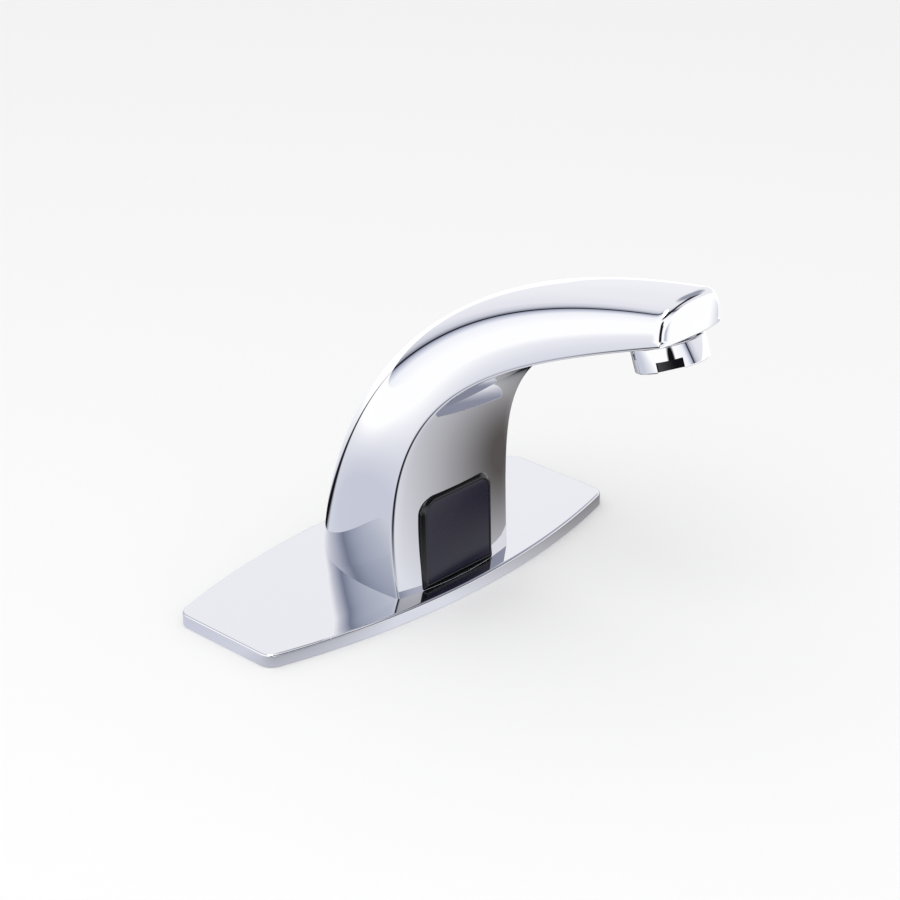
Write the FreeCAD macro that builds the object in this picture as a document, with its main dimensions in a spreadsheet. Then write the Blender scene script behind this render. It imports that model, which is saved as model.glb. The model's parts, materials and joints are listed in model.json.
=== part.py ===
"""Deck-mounted sensor tap for a basin, in millimetres.

A chromed cast spout body stands on a boat-shaped cover plate. It holds an infrared sensor in its
front face, a pilot-operated solenoid valve in its column and an aerator under its nose.

Frame: the origin is the middle of the deck face, +Z is up, the spout reaches along -Y and the
cover plate is long along X.
"""
import FreeCAD, Part
import math
import os
import re

import Sketcher
from FreeCAD import Placement, Rotation, Vector

doc = FreeCAD.newDocument("SensorTap")


# ---------------------------------------------------------------- driving dimensions
SIZES = (
    # cover plate, a thin tray with a bowed outline
    ("plate_length", 160.0),
    ("plate_middle_width", 65.4),
    ("plate_end_width", 41.2),
    ("plate_thickness", 4.6),
    ("plate_skin", 1.6),
    ("plate_rim", 2.5),
    ("plate_corner_radius", 5.0),
    ("plate_edge_radius", 1.0),
    ("gasket_inset", 2.8),
    # side profile of the spout body: Y, and height above the cover plate, of the control
    # points of the front and the back curve
    ("front_foot_y", -24.2),
    ("front_lower_y", -16.1),
    ("front_lower_rise", 66.6),
    ("front_upper_y", -36.0),
    ("front_upper_rise", 82.6),
    ("front_nose_y", -115.0),
    ("front_nose_rise", 110.9),
    ("back_foot_y", 27.5),
    ("back_lower_y", 16.1),
    ("back_lower_rise", 56.2),
    ("back_upper_y", -8.9),
    ("back_upper_rise", 110.9),
    ("back_nose_y", -116.0),
    ("back_nose_rise", 125.0),
    # half width of the spout body from foot to nose, as control values
    ("half_width_foot", 26.8),
    ("half_width_low", 31.5),
    ("half_width_bend", 18.1),
    ("half_width_neck", 17.1),
    ("half_width_nose", 14.2),
    # section of the spout body: a bowed front, sides that bulge, and a crowned back
    ("front_bow", 3.0),
    ("bulge_share", 0.23),
    ("corner_inset_foot", 0.67),
    ("corner_inset_nose", 0.142),
    ("crown_power_foot", 2.05),
    ("crown_power_nose", 2.65),
    ("nose_tip_y", -117.5),
    ("nose_bow_radius", 56.0),
    ("nose_edge_bevel", 1.3),
    ("front_corner_bevel", 0.7),
    # foot plate and what passes through it
    ("foot_plate_y", 1.0),
    ("foot_plate_radius", 20.0),
    ("foot_plate_height", 5.0),
    ("foot_fit", 0.15),
    ("foot_ear_radius", 3.5),
    ("foot_ear_reach", 20.5),
    ("foot_boss_radius", 16.0),
    ("plate_hole_gap", 0.6),
    ("foot_seal_height", 1.0),
    ("foot_seal_width", 2.4),
    ("foot_screw_radius", 1.5),
    ("foot_screw_length", 9.0),
    ("foot_screw_head_radius", 2.7),
    ("foot_screw_head_height", 1.6),
    ("stud_socket_radius", 3.0),
    ("stud_socket_depth", 7.0),
    ("stud_socket_reach", 10.5),
    ("stud_socket_y", -5.0),
    ("inlet_y", 8.8),
    ("inlet_port_radius", 5.0),
    ("inlet_port_depth", 4.5),
    ("grommet_y", -10.5),
    ("grommet_radius", 3.4),
    ("grommet_flange", 1.1),
    ("grommet_bore_radius", 1.75),
    # hollow of the column
    ("lower_hollow_radius", 17.5),
    ("lower_hollow_y", -3.4),
    ("upper_hollow_radius", 14.8),
    ("upper_hollow_y", -5.4),
    ("spigot_headroom", 2.8),
    # inlet tube
    ("inlet_tube_radius", 3.6),
    ("inlet_tube_bore", 2.6),
    ("socket_fit", 0.05),
    ("tube_socket_depth", 2.4),
    ("tube_seal_side", 1.4),
    # solenoid valve, on an upright axis, with its core tube down to the foot plate
    ("valve_y", -4.0),
    ("core_tube_lift", 1.4),
    ("valve_radius", 11.8),
    ("valve_height", 14.6),
    ("valve_lug_radius", 4.6),
    ("valve_lug_height", 12.0),
    ("outlet_spigot_radius", 6.2),
    ("outlet_spigot_height", 4.6),
    ("piston_radius", 7.8),
    ("piston_height", 3.6),
    ("piston_gap", 0.05),
    ("piston_travel", 2.0),
    ("piston_floor_gap", 0.5),
    ("seal_disc_radius", 6.0),
    ("seal_disc_height", 1.4),
    ("seat_gap", 0.1),
    ("seat_radius", 5.4),
    ("seat_height", 3.2),
    ("outlet_passage_radius", 3.2),
    ("inlet_passage_radius", 1.5),
    ("inlet_passage_drop", 1.9),
    ("core_tube_radius", 5.0),
    ("core_tube_wall", 0.9),
    ("core_tube_length", 19.0),
    ("core_flange_radius", 11.8),
    ("core_flange_height", 1.5),
    ("plunger_gap", 0.06),
    ("plunger_length", 12.5),
    ("plunger_tip_gap", 0.2),
    ("spring_wire", 0.6),
    ("spring_turns", 5.0),
    ("bonnet_screw_radius", 1.1),
    ("bonnet_screw_circle", 9.9),
    ("bonnet_screw_length", 5.0),
    ("bonnet_screw_head", 1.8),
    ("bonnet_screw_head_height", 1.3),
    ("coil_radius", 8.8),
    ("coil_height", 12.4),
    ("coil_gap", 0.1),
    ("yoke_thickness", 1.2),
    ("yoke_width", 12.0),
    ("clip_radius", 7.0),
    ("clip_height", 1.0),
    # outlet tube in the spout
    ("outlet_tube_radius", 4.0),
    ("outlet_tube_bore", 3.0),
    ("waterway_gap", 0.9),
    ("outlet_first_rise", 17.0),
    ("outlet_middle_y", -54.0),
    ("outlet_middle_rise", 97.0),
    ("outlet_end_y", -88.0),
    ("outlet_end_rise", 110.8),
    ("nose_passage_radius", 2.9),
    # aerator
    ("aerator_y", -107.15),
    ("aerator_radius", 11.2),
    ("aerator_collar", 7.6),
    ("aerator_gap", 0.4),
    ("thread_radius", 9.0),
    ("thread_gap", 0.05),
    ("neck_length", 4.6),
    ("thread_socket_depth", 6.4),
    ("nose_chamber_radius", 6.5),
    ("nose_chamber_height", 3.2),
    ("aerator_wall", 1.5),
    ("aerator_lip", 1.2),
    ("aerator_lip_height", 1.2),
    ("aerator_edge_bevel", 0.5),
    ("notch_width", 8.0),
    ("notch_height", 3.3),
    ("notch_turn", 52.0),
    ("insert_gap", 0.1),
    ("insert_wall", 1.0),
    ("insert_jet_circle", 4.4),
    ("former_height", 2.2),
    ("insert_jet_radius", 0.75),
    ("former_cell_radius", 0.8),
    ("former_ring_step", 2.05),
    ("screen_height", 0.6),
    # sensor in the front face
    ("bezel_half_width", 16.5),
    ("bezel_bottom_gap", 0.2),
    ("bezel_height", 31.8),
    ("bezel_corner_radius", 6.0),
    ("bezel_proud", 2.7),
    ("bezel_sunk", 1.4),
    ("bezel_bevel", 1.2),
    ("bezel_fit", 0.15),
    ("bezel_frame", 1.7),
    ("window_thickness", 1.8),
    ("window_sunk", 0.15),
    ("window_fit", 0.1),
    ("sensor_gasket_thickness", 0.6),
    ("sensor_case_half_width", 12.6),
    ("sensor_case_bottom", 7.2),
    ("sensor_case_height", 19.0),
    ("sensor_case_depth", 5.8),
    ("sensor_case_wall", 1.2),
    ("sensor_case_fit", 0.3),
    ("sensor_cover_thickness", 1.0),
    ("board_thickness", 1.2),
    ("board_back_gap", 1.4),
    ("board_gap", 0.2),
    ("eye_radius", 2.5),
    ("eye_flange", 0.4),
    ("eye_spread", 6.5),
    ("eye_length", 4.2),
    ("lamp_radius", 1.5),
    ("lamp_rise", 5.6),
)

sheet = doc.addObject("Spreadsheet::Sheet", "Sizes")
for row, (alias, number) in enumerate(SIZES, start=1):
    sheet.set(f"A{row}", alias)
    sheet.set(f"B{row}", str(number))
    sheet.setAlias(f"B{row}", alias)
doc.recompute()

ALIASES = {alias for alias, number in SIZES}


def size(alias):
    """The value of one cell of the sheet."""
    return float(getattr(sheet, alias))


def linked(formula):
    """A formula of cell names, written as an expression on the sheet."""
    return re.sub(r"[a-z][a-z_]*", lambda word: "Sizes." + word.group()
                  if word.group() in ALIASES else word.group(), formula)


def bind(obj, **formulas):
    """Tie properties to formulas; x, y and z stand for the place of the object."""
    for name, formula in formulas.items():
        path = f"Placement.Base.{name}" if name in ("x", "y", "z") else name
        obj.setExpression(path, linked(formula))
    return obj


# ---------------------------------------------------------------- building helpers
nodes = []


def keep(obj, label):
    """Mark an object as one piece of the tap."""
    obj.Label = label
    nodes.append(obj)
    return obj


def cylinder(name, radius, height, x="0", y="0", z="0"):
    """An upright cylinder bound to the sheet."""
    return bind(doc.addObject("Part::Cylinder", name), Radius=radius, Height=height, x=x, y=y, z=z)


def forward_cylinder(name, radius, height, x="0", y="0", z="0"):
    """A cylinder that runs from its base towards -Y."""
    rod = doc.addObject("Part::Cylinder", name)
    rod.Placement = Placement(Vector(0, 0, 0), Rotation(Vector(1, 0, 0), 90))
    return bind(rod, Radius=radius, Height=height, x=x, y=y, z=z)


def block(name, width, depth, height, x, y, z):
    """A box bound to the sheet, from its lowest corner."""
    return bind(doc.addObject("Part::Box", name), Length=width, Width=depth, Height=height,
                x=x, y=y, z=z)


def fuse(name, *shapes):
    """The union of several objects."""
    union = doc.addObject("Part::MultiFuse", name)
    union.Shapes = list(shapes)
    return union


def cut(name, base, *tools):
    """A base with one or more tools cut away."""
    tool = tools[0] if len(tools) == 1 else fuse(name + "_tools", *tools)
    result = doc.addObject("Part::Cut", name)
    result.Base = base
    result.Tool = tool
    return result


def solid(name, shape):
    """A shape worked out in this script, as an object of the document."""
    feature = doc.addObject("Part::Feature", name)
    feature.Shape = shape
    return feature


def new_body(name):
    """An empty body for sketched features."""
    return doc.addObject("PartDesign::Body", name)


def new_sketch(body, name, plane, offset=None):
    """A sketch on one of the body's own origin planes, moved out along its normal."""
    sketch = body.newObject("Sketcher::SketchObject", name)
    support = next(item for item in body.Origin.OriginFeatures if item.Role == plane)
    sketch.AttachmentSupport = [(support, "")]
    sketch.MapMode = "FlatFace"
    if offset:
        sketch.setExpression("AttachmentOffset.Base.z", linked(offset))
    return sketch


def constrain(sketch, kind, *geometry, formula):
    """A dimension of a sketch, first as it is drawn and then driven by a formula."""
    if kind == "Radius":
        drawn = sketch.Geometry[geometry[0]].Radius
    else:
        between = sketch.getPoint(*geometry[2:]) - sketch.getPoint(*geometry[:2])
        drawn = between.x if kind == "DistanceX" else between.y
    index = sketch.addConstraint(Sketcher.Constraint(kind, *geometry, drawn))
    sketch.setExpression(f"Constraints[{index}]", linked(formula))


def draw_circle(sketch, radius, x="0", y="0"):
    """A full circle in a sketch, at a place given by formulas."""
    circle = sketch.addGeometry(Part.Circle(Vector(1, 1, 0), Vector(0, 0, 1), 1.0))
    constrain(sketch, "Radius", circle, formula=radius)
    for kind, place, point_on_axis in (("DistanceX", x, "PointOnObject"),
                                       ("DistanceY", y, "PointOnObject")):
        if place == "0":
            axis = -2 if kind == "DistanceX" else -1
            sketch.addConstraint(Sketcher.Constraint(point_on_axis, circle, 3, axis))
        else:
            constrain(sketch, kind, -1, 1, circle, 3, formula=place)
    return circle


def add_pad(body, sketch, length, name="Pad"):
    """Extrude a sketch along its normal."""
    pad = body.newObject("PartDesign::Pad", name)
    pad.Profile = sketch
    pad.setExpression("Length", linked(length))
    return pad


def add_pocket(body, sketch, depth, name="Pocket", reverse=False):
    """Cut a sketch away, against its normal unless reversed."""
    pocket = body.newObject("PartDesign::Pocket", name)
    pocket.Profile = sketch
    pocket.Reversed = reverse
    pocket.setExpression("Length", linked(depth))
    return pocket


NEAR = 0.01


def chosen_edges(shape, wanted):
    """Names of the edges of a shape whose bounding box and length pass a test."""
    return [f"Edge{number}" for number, edge in enumerate(shape.Edges, start=1) if wanted(edge)]


# ---------------------------------------------------------------- cover plate
def draw_boat(sketch, inset):
    """The plate's outline: two straight ends joined by two bowed sides, moved in by an inset."""
    half = size("plate_length") / 2
    end = size("plate_end_width") / 2
    middle = size("plate_middle_width") / 2
    inset_now = size(inset) if inset else 0.0
    half -= inset_now
    end -= inset_now
    middle -= inset_now
    corners = [Vector(half, -end, 0), Vector(half, end, 0), Vector(-half, end, 0),
               Vector(-half, -end, 0)]
    right = sketch.addGeometry(Part.LineSegment(corners[0], corners[1]))
    upper = sketch.addGeometry(Part.Arc(corners[1], Vector(0, middle, 0), corners[2]))
    left = sketch.addGeometry(Part.LineSegment(corners[2], corners[3]))
    lower = sketch.addGeometry(Part.Arc(corners[3], Vector(0, -middle, 0), corners[0]))
    # an arc made through three points runs anticlockwise, so its start is its first point
    sketch.addConstraint(Sketcher.Constraint("Coincident", right, 2, upper, 1))
    sketch.addConstraint(Sketcher.Constraint("Coincident", upper, 2, left, 1))
    sketch.addConstraint(Sketcher.Constraint("Coincident", left, 2, lower, 1))
    sketch.addConstraint(Sketcher.Constraint("Coincident", lower, 2, right, 1))
    sketch.addConstraint(Sketcher.Constraint("Symmetric", right, 1, left, 2, -2))
    sketch.addConstraint(Sketcher.Constraint("Symmetric", right, 2, left, 1, -2))
    sketch.addConstraint(Sketcher.Constraint("Symmetric", right, 1, right, 2, -1))
    less = f" - {inset}" if inset else ""
    bow = "((plate_middle_width - plate_end_width) / 2)"
    constrain(sketch, "DistanceX", -1, 1, right, 2, formula="plate_length / 2" + less)
    constrain(sketch, "DistanceY", -1, 1, right, 2, formula="plate_end_width / 2" + less)
    chord = f"(plate_length / 2{less})"
    for arc in (upper, lower):
        constrain(sketch, "Radius", arc, formula=f"({chord}^2 + {bow}^2) / (2 * {bow})")


def round_edges(body, base, radius, wanted, name):
    """Fillet the chosen edges of the last feature of a body."""
    doc.recompute()
    fillet = body.newObject("PartDesign::Fillet", name)
    fillet.Base = (base, chosen_edges(base.Shape, wanted))
    fillet.setExpression("Radius", linked(radius))
    doc.recompute()
    return fillet


def bevel_edges(body, base, width, wanted, name):
    """Chamfer the chosen edges of the last feature of a body."""
    doc.recompute()
    bevel = body.newObject("PartDesign::Chamfer", name)
    bevel.Base = (base, chosen_edges(base.Shape, wanted))
    bevel.setExpression("Size", linked(width))
    doc.recompute()
    return bevel


def upright(edge):
    """True for a straight edge along Z."""
    box = edge.BoundBox
    return box.ZLength > NEAR and box.XLength < NEAR and box.YLength < NEAR


def make_deck_plate():
    body = new_body("deck_plate_body")
    outline = new_sketch(body, "plate_outline", "XY_Plane")
    draw_boat(outline, None)
    slab = add_pad(body, outline, "plate_thickness", "plate_slab")
    corners = round_edges(body, slab, "plate_corner_radius", upright, "plate_corners")
    top = size("plate_thickness")
    rim = round_edges(body, corners, "plate_edge_radius",
                      lambda edge: edge.BoundBox.ZMin > top - NEAR, "plate_top_edge")
    hollow = new_sketch(body, "plate_hollow", "XY_Plane")
    draw_boat(hollow, "plate_rim")
    tray = add_pocket(body, hollow, "plate_thickness - plate_skin", "plate_tray", reverse=True)
    opening = new_sketch(body, "plate_opening", "XY_Plane")
    draw_circle(opening, "foot_boss_radius + plate_hole_gap", y="foot_plate_y")
    hole = add_pocket(body, opening, "plate_thickness", "plate_hole", reverse=True)
    doc.recompute()
    assert hole.Shape.Volume < tray.Shape.Volume < rim.Shape.Volume
    return keep(body, "deck_plate")


def make_deck_gasket():
    body = new_body("deck_gasket_body")
    outline = new_sketch(body, "gasket_outline", "XY_Plane")
    draw_boat(outline, "gasket_inset")
    sheet_of_rubber = add_pad(body, outline, "plate_thickness - plate_skin", "gasket_sheet")
    opening = new_sketch(body, "gasket_opening", "XY_Plane")
    draw_circle(opening, "foot_boss_radius + 2 * plate_hole_gap", y="foot_plate_y")
    hole = add_pocket(body, opening, "plate_thickness", "gasket_hole", reverse=True)
    doc.recompute()
    assert hole.Shape.Volume < sheet_of_rubber.Shape.Volume
    return keep(body, "deck_gasket")


# ---------------------------------------------------------------- form of the spout body
def control_points(side):
    """The control points of the front or the back curve, in the YZ plane."""
    foot = size("plate_thickness")
    points = [(size(f"{side}_foot_y"), foot)]
    for place in ("lower", "upper", "nose"):
        points.append((size(f"{side}_{place}_y"), foot + size(f"{side}_{place}_rise")))
    return points


def on_curve(points, station):
    """A point of a Bezier curve, by repeated division of its control lines."""
    while len(points) > 1:
        points = [tuple(a + (b - a) * station for a, b in zip(first, second))
                  for first, second in zip(points, points[1:])]
    return points[0]


def half_width(station):
    """Half the width of the body at a station."""
    values = [(size(f"half_width_{place}"),) for place in ("foot", "low", "bend", "neck", "nose")]
    return on_curve(values, station)[0]


def blend(first, last, station):
    """A value that changes evenly from foot to nose."""
    return first + (last - first) * station


SIDE_POINTS = 3
CROWN_POINTS = 7
SECTIONS = 11
OVERRUN = 1.03


def body_section(station):
    """One closed section: a bowed front edge and one smooth curve round sides and back."""
    front = on_curve(control_points("front"), station)
    back = on_curve(control_points("back"), station)
    depth = math.hypot(back[0] - front[0], back[1] - front[1])
    across = ((back[0] - front[0]) / depth, (back[1] - front[1]) / depth)
    widest = half_width(station)
    corner_share = blend(1 - size("corner_inset_foot") / size("half_width_foot"),
                         1 - size("corner_inset_nose") / size("half_width_nose"), station)
    power = blend(size("crown_power_foot"), size("crown_power_nose"), station)
    bulge = size("bulge_share") * depth
    side_height = bulge / math.sqrt(1 - corner_share ** 2)
    half = []
    for step in range(SIDE_POINTS):
        rise = bulge * step / SIDE_POINTS
        half.append((widest * math.sqrt(1 - ((bulge - rise) / side_height) ** 2), rise))
    for step in range(CROWN_POINTS):
        angle = math.radians(90 * step / CROWN_POINTS)
        half.append((widest * math.cos(angle) ** (2 / power),
                     bulge + (depth - bulge) * math.sin(angle) ** (2 / power)))
    outline = half + [(0.0, depth)] + [(-x, rise) for x, rise in reversed(half)]
    points = [Vector(x, front[0] + across[0] * rise, front[1] + across[1] * rise)
              for x, rise in outline]
    curve = Part.BSplineCurve()
    curve.interpolate(Points=points,
                      Parameters=[i / (len(points) - 1) for i in range(len(points))])
    # the middle pole of a quadratic arc stands out twice as far as the arc does
    bow = size("front_bow") * (1 - station)
    pole = Vector(0, front[0] - across[0] * 2 * bow, front[1] - across[1] * 2 * bow)
    front_edge = Part.BezierCurve()
    front_edge.setPoles([points[-1], pole, points[0]])
    return Part.Wire([front_edge.toShape(), curve.toShape()])


def make_spout_form():
    """The outer form of the body: a loft, ended by a bowed nose, with its edges eased."""
    wires = [body_section(OVERRUN * step / (SECTIONS - 1)) for step in range(SECTIONS)]
    loft = Part.makeLoft(wires, True, False)
    tip = size("nose_tip_y")
    bow = size("nose_bow_radius")
    reach = 4 * size("half_width_nose")
    height = 2 * size("back_nose_rise")
    ahead = Part.makeBox(2 * reach, reach, height, Vector(-reach, tip - reach / 2, 0))
    rear = Part.makeCylinder(bow, height, Vector(0, tip + bow, 0))
    trimmed = loft.cut(ahead.cut(rear))
    trimmed = max(trimmed.Solids, key=lambda piece: piece.Volume)
    nose_height = size("back_nose_rise") - size("front_nose_rise")

    def nose_edge(edge):
        box = edge.BoundBox
        return box.YMax < tip + size("half_width_nose") and box.ZLength > nose_height / 2

    eased = trimmed.makeChamfer(size("nose_edge_bevel"), [e for e in trimmed.Edges if nose_edge(e)])
    long_edges = [edge for edge in eased.Edges if edge.Length > abs(tip)]
    return eased.makeChamfer(size("front_corner_bevel"), long_edges)


SMALL_STEP = 1e-6


def aerator_seat():
    """Where the aerator's axis meets the underside, and its lean from the vertical in degrees."""
    points = control_points("front")
    station, step = 0.5, 0.25
    while step > SMALL_STEP:
        behind_axis = on_curve(points, station)[0] > size("aerator_y")
        station += step if behind_axis else -step
        step /= 2
    y, z = on_curve(points, station)
    ahead = on_curve(points, station + SMALL_STEP)
    behind = on_curve(points, station - SMALL_STEP)
    return Vector(0, y, z), math.degrees(math.atan2(ahead[1] - behind[1], behind[0] - ahead[0]))


SEAT, LEAN = aerator_seat()
AERATOR_PLACE = Placement(SEAT, Rotation(Vector(-1, 0, 0), LEAN))


def in_nose(obj):
    """Put a piece made round +Z on the aerator's axis, with z = 0 at the underside."""
    obj.Placement = AERATOR_PLACE
    return obj


# ---------------------------------------------------------------- heights in the column
FOOT_LAYERS = ("plate_thickness", "foot_seal_height", "foot_plate_height")
CORE_LAYERS = FOOT_LAYERS + ("core_tube_lift",)
VALVE_FOOT_LAYERS = CORE_LAYERS + ("core_tube_length",)
VALVE_TOP_LAYERS = VALVE_FOOT_LAYERS + ("valve_height",)


def stacked(layers):
    """The formula of a height that is the sum of several sizes."""
    return "(" + " + ".join(layers) + ")"


def height_of(layers):
    """The value of that height."""
    return sum(size(layer) for layer in layers)


FOOT_TOP = stacked(FOOT_LAYERS)
TUBE_FOOT = stacked(CORE_LAYERS)
VALVE_FOOT = stacked(VALVE_FOOT_LAYERS)
VALVE_TOP = stacked(VALVE_TOP_LAYERS)


# ---------------------------------------------------------------- water route in the spout
def outlet_route():
    """The corners of the outlet tube's path, from the valve to the nose."""
    foot = size("plate_thickness")
    valve_top = height_of(VALVE_TOP_LAYERS)
    return [Vector(0, size("valve_y"), valve_top),
            Vector(0, size("valve_y"), valve_top + size("outlet_first_rise")),
            Vector(0, size("outlet_middle_y"), foot + size("outlet_middle_rise")),
            Vector(0, size("outlet_end_y"), foot + size("outlet_end_rise"))]


BEND_SHARE = 0.45


def bent_wire(corners):
    """Straight runs joined by tangent arcs, each taking a share of its shorter run."""
    edges = []
    start = corners[0]
    for before, corner, after in zip(corners, corners[1:], corners[2:]):
        arriving = (corner - before).normalize()
        leaving = (after - corner).normalize()
        setback = BEND_SHARE * min(corner.distanceToPoint(before), corner.distanceToPoint(after))
        arc_start = corner - arriving * setback
        arc_end = corner + leaving * setback
        half_turn = arriving.getAngle(leaving) / 2
        radius = setback / math.tan(half_turn)
        inward = (leaving - arriving).normalize()
        centre = corner + inward * (radius / math.cos(half_turn))
        arc_middle = centre - inward * radius
        edges.append(Part.LineSegment(start, arc_start).toShape())
        edges.append(Part.Arc(arc_start, arc_middle, arc_end).toShape())
        start = arc_end
    edges.append(Part.LineSegment(start, corners[-1]).toShape())
    return Part.Wire(edges)


def swept_rod(corners, radius):
    """A round rod along bent_wire."""
    path = bent_wire(corners)
    first = (corners[1] - corners[0]).normalize()
    circle = Part.Wire([Part.Circle(corners[0], first, radius).toShape()])
    return path.makePipeShell([circle], True, False)


def make_outlet_tube():
    corners = outlet_route()
    outer = swept_rod(corners, size("outlet_tube_radius"))
    bore = swept_rod(corners, size("outlet_tube_bore"))
    return keep(solid("outlet_tube_solid", outer.cut(bore)), "outlet_tube")


# ---------------------------------------------------------------- spout body
BEZEL_FRONT = "(-front_foot_y + bezel_proud)"
BEZEL_BACK = "(-front_foot_y - bezel_sunk)"


def arched_sketch(body, name, offset, half, bottom, top, corner):
    """An upright rectangle with rounded upper corners, in a plane facing -Y."""
    sketch = new_sketch(body, name, "XZ_Plane", offset)
    x, low, high, bend = 10.0, 1.0, 30.0, 3.0
    floor = sketch.addGeometry(Part.LineSegment(Vector(-x, low, 0), Vector(x, low, 0)))
    right = sketch.addGeometry(Part.LineSegment(Vector(x, low, 0), Vector(x, high - bend, 0)))
    first = sketch.addGeometry(Part.ArcOfCircle(
        Part.Circle(Vector(x - bend, high - bend, 0), Vector(0, 0, 1), bend), 0, math.pi / 2))
    roof = sketch.addGeometry(Part.LineSegment(Vector(x - bend, high, 0),
                                               Vector(bend - x, high, 0)))
    second = sketch.addGeometry(Part.ArcOfCircle(
        Part.Circle(Vector(bend - x, high - bend, 0), Vector(0, 0, 1), bend), math.pi / 2, math.pi))
    left = sketch.addGeometry(Part.LineSegment(Vector(-x, high - bend, 0), Vector(-x, low, 0)))
    joins = ((right, 2, first, 1), (first, 2, roof, 1), (roof, 2, second, 1), (second, 2, left, 1))
    for join in joins:
        sketch.addConstraint(Sketcher.Constraint("Tangent", *join))
    sketch.addConstraint(Sketcher.Constraint("Coincident", left, 2, floor, 1))
    sketch.addConstraint(Sketcher.Constraint("Coincident", floor, 2, right, 1))
    sketch.addConstraint(Sketcher.Constraint("Vertical", left))
    sketch.addConstraint(Sketcher.Constraint("Horizontal", roof))
    sketch.addConstraint(Sketcher.Constraint("Vertical", right))
    sketch.addConstraint(Sketcher.Constraint("Symmetric", floor, 1, floor, 2, -2))
    sketch.addConstraint(Sketcher.Constraint("Equal", first, second))
    constrain(sketch, "Radius", first, formula=corner)
    constrain(sketch, "DistanceX", -1, 1, floor, 2, formula=half)
    constrain(sketch, "DistanceY", -1, 1, floor, 2, formula=bottom)
    constrain(sketch, "DistanceY", -1, 1, roof, 1, formula=top)
    return sketch


def arched_prism(name, back, length, inset, grow="0"):
    """A body and its pad of the sensor's outline, inset from the bezel's edge, towards -Y."""
    body = new_body(name)
    sketch = arched_sketch(
        body, name + "_outline", back,
        f"bezel_half_width - {inset} + {grow}",
        f"plate_thickness + bezel_bottom_gap + {inset} - {grow}",
        f"plate_thickness + bezel_bottom_gap + bezel_height - {inset} + {grow}",
        f"bezel_corner_radius - {inset} + {grow}")
    pad = add_pad(body, sketch, length, name + "_pad")
    return body, pad


def case_block(name, grow, back, depth):
    """A block round the sensor's case, grown on its four sides."""
    return block(name, f"2 * (sensor_case_half_width + {grow})", depth,
                 f"sensor_case_height + 2 * {grow}", f"-sensor_case_half_width - {grow}",
                 back, f"plate_thickness + sensor_case_bottom - {grow}")


def foot_outline(name, grow, bottom, height):
    """The foot plate's round outline with its two ears."""
    disc = cylinder(name + "_disc", f"foot_plate_radius + {grow}", height, y="foot_plate_y",
                    z=bottom)
    ears = [cylinder(f"{name}_ear_{side}", f"foot_ear_radius + {grow}", height,
                     x=f"{sign}foot_ear_reach", y="foot_plate_y", z=bottom)
            for side, sign in (("right", ""), ("left", "-"))]
    return fuse(name, disc, *ears)


def make_spout_body():
    form = solid("spout_form", make_spout_form())
    recess = foot_outline("foot_recess", "foot_fit", "0", FOOT_TOP)
    lower = cylinder("lower_hollow", "lower_hollow_radius",
                     f"{VALVE_FOOT} + valve_lug_height - plate_thickness",
                     y="lower_hollow_y", z="plate_thickness")
    upper = cylinder("upper_hollow", "upper_hollow_radius",
                     f"{VALVE_TOP} + outlet_spigot_height + spigot_headroom - plate_thickness",
                     y="upper_hollow_y", z="plate_thickness")
    screw_holes = [cylinder(f"foot_screw_hole_{side}", "foot_screw_radius", "foot_screw_length",
                            x=f"{sign}foot_ear_reach", y="foot_plate_y",
                            z="plate_thickness + foot_seal_height + foot_screw_head_height")
                   for side, sign in (("right", ""), ("left", "-"))]
    bezel_seat, _ = arched_prism(
        "bezel_seat", f"{BEZEL_BACK} - sensor_gasket_thickness",
        "front_bow + bezel_proud + bezel_sunk + sensor_gasket_thickness", "0", "bezel_fit")
    case_way = case_block("case_way", "sensor_case_fit", "front_foot_y",
                          "sensor_case_depth + sensor_cover_thickness + bezel_sunk"
                          " + 2 * sensor_case_fit")
    corners = outlet_route()
    bore = solid("waterway_bore",
                 swept_rod(corners, size("outlet_tube_radius") + size("waterway_gap")))
    toward = (corners[-1] - corners[-2]).normalize()
    passage_length = corners[-1].y - SEAT.y
    passage = solid("nose_passage",
                    Part.makeCylinder(size("nose_passage_radius"), passage_length,
                                      corners[-1] - toward, toward))
    socket = in_nose(solid("thread_socket",
                           Part.makeCylinder(size("thread_radius"),
                                             2 * size("thread_socket_depth"),
                                             Vector(0, 0, -size("thread_socket_depth")))))
    chamber = in_nose(solid("nose_chamber",
                            Part.makeCylinder(size("nose_chamber_radius"),
                                              size("nose_chamber_height"),
                                              Vector(0, 0, size("thread_socket_depth")))))
    return keep(cut("spout_shell", form, recess, lower, upper, *screw_holes, bezel_seat, case_way,
                    bore, passage, socket, chamber), "spout_body")


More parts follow.
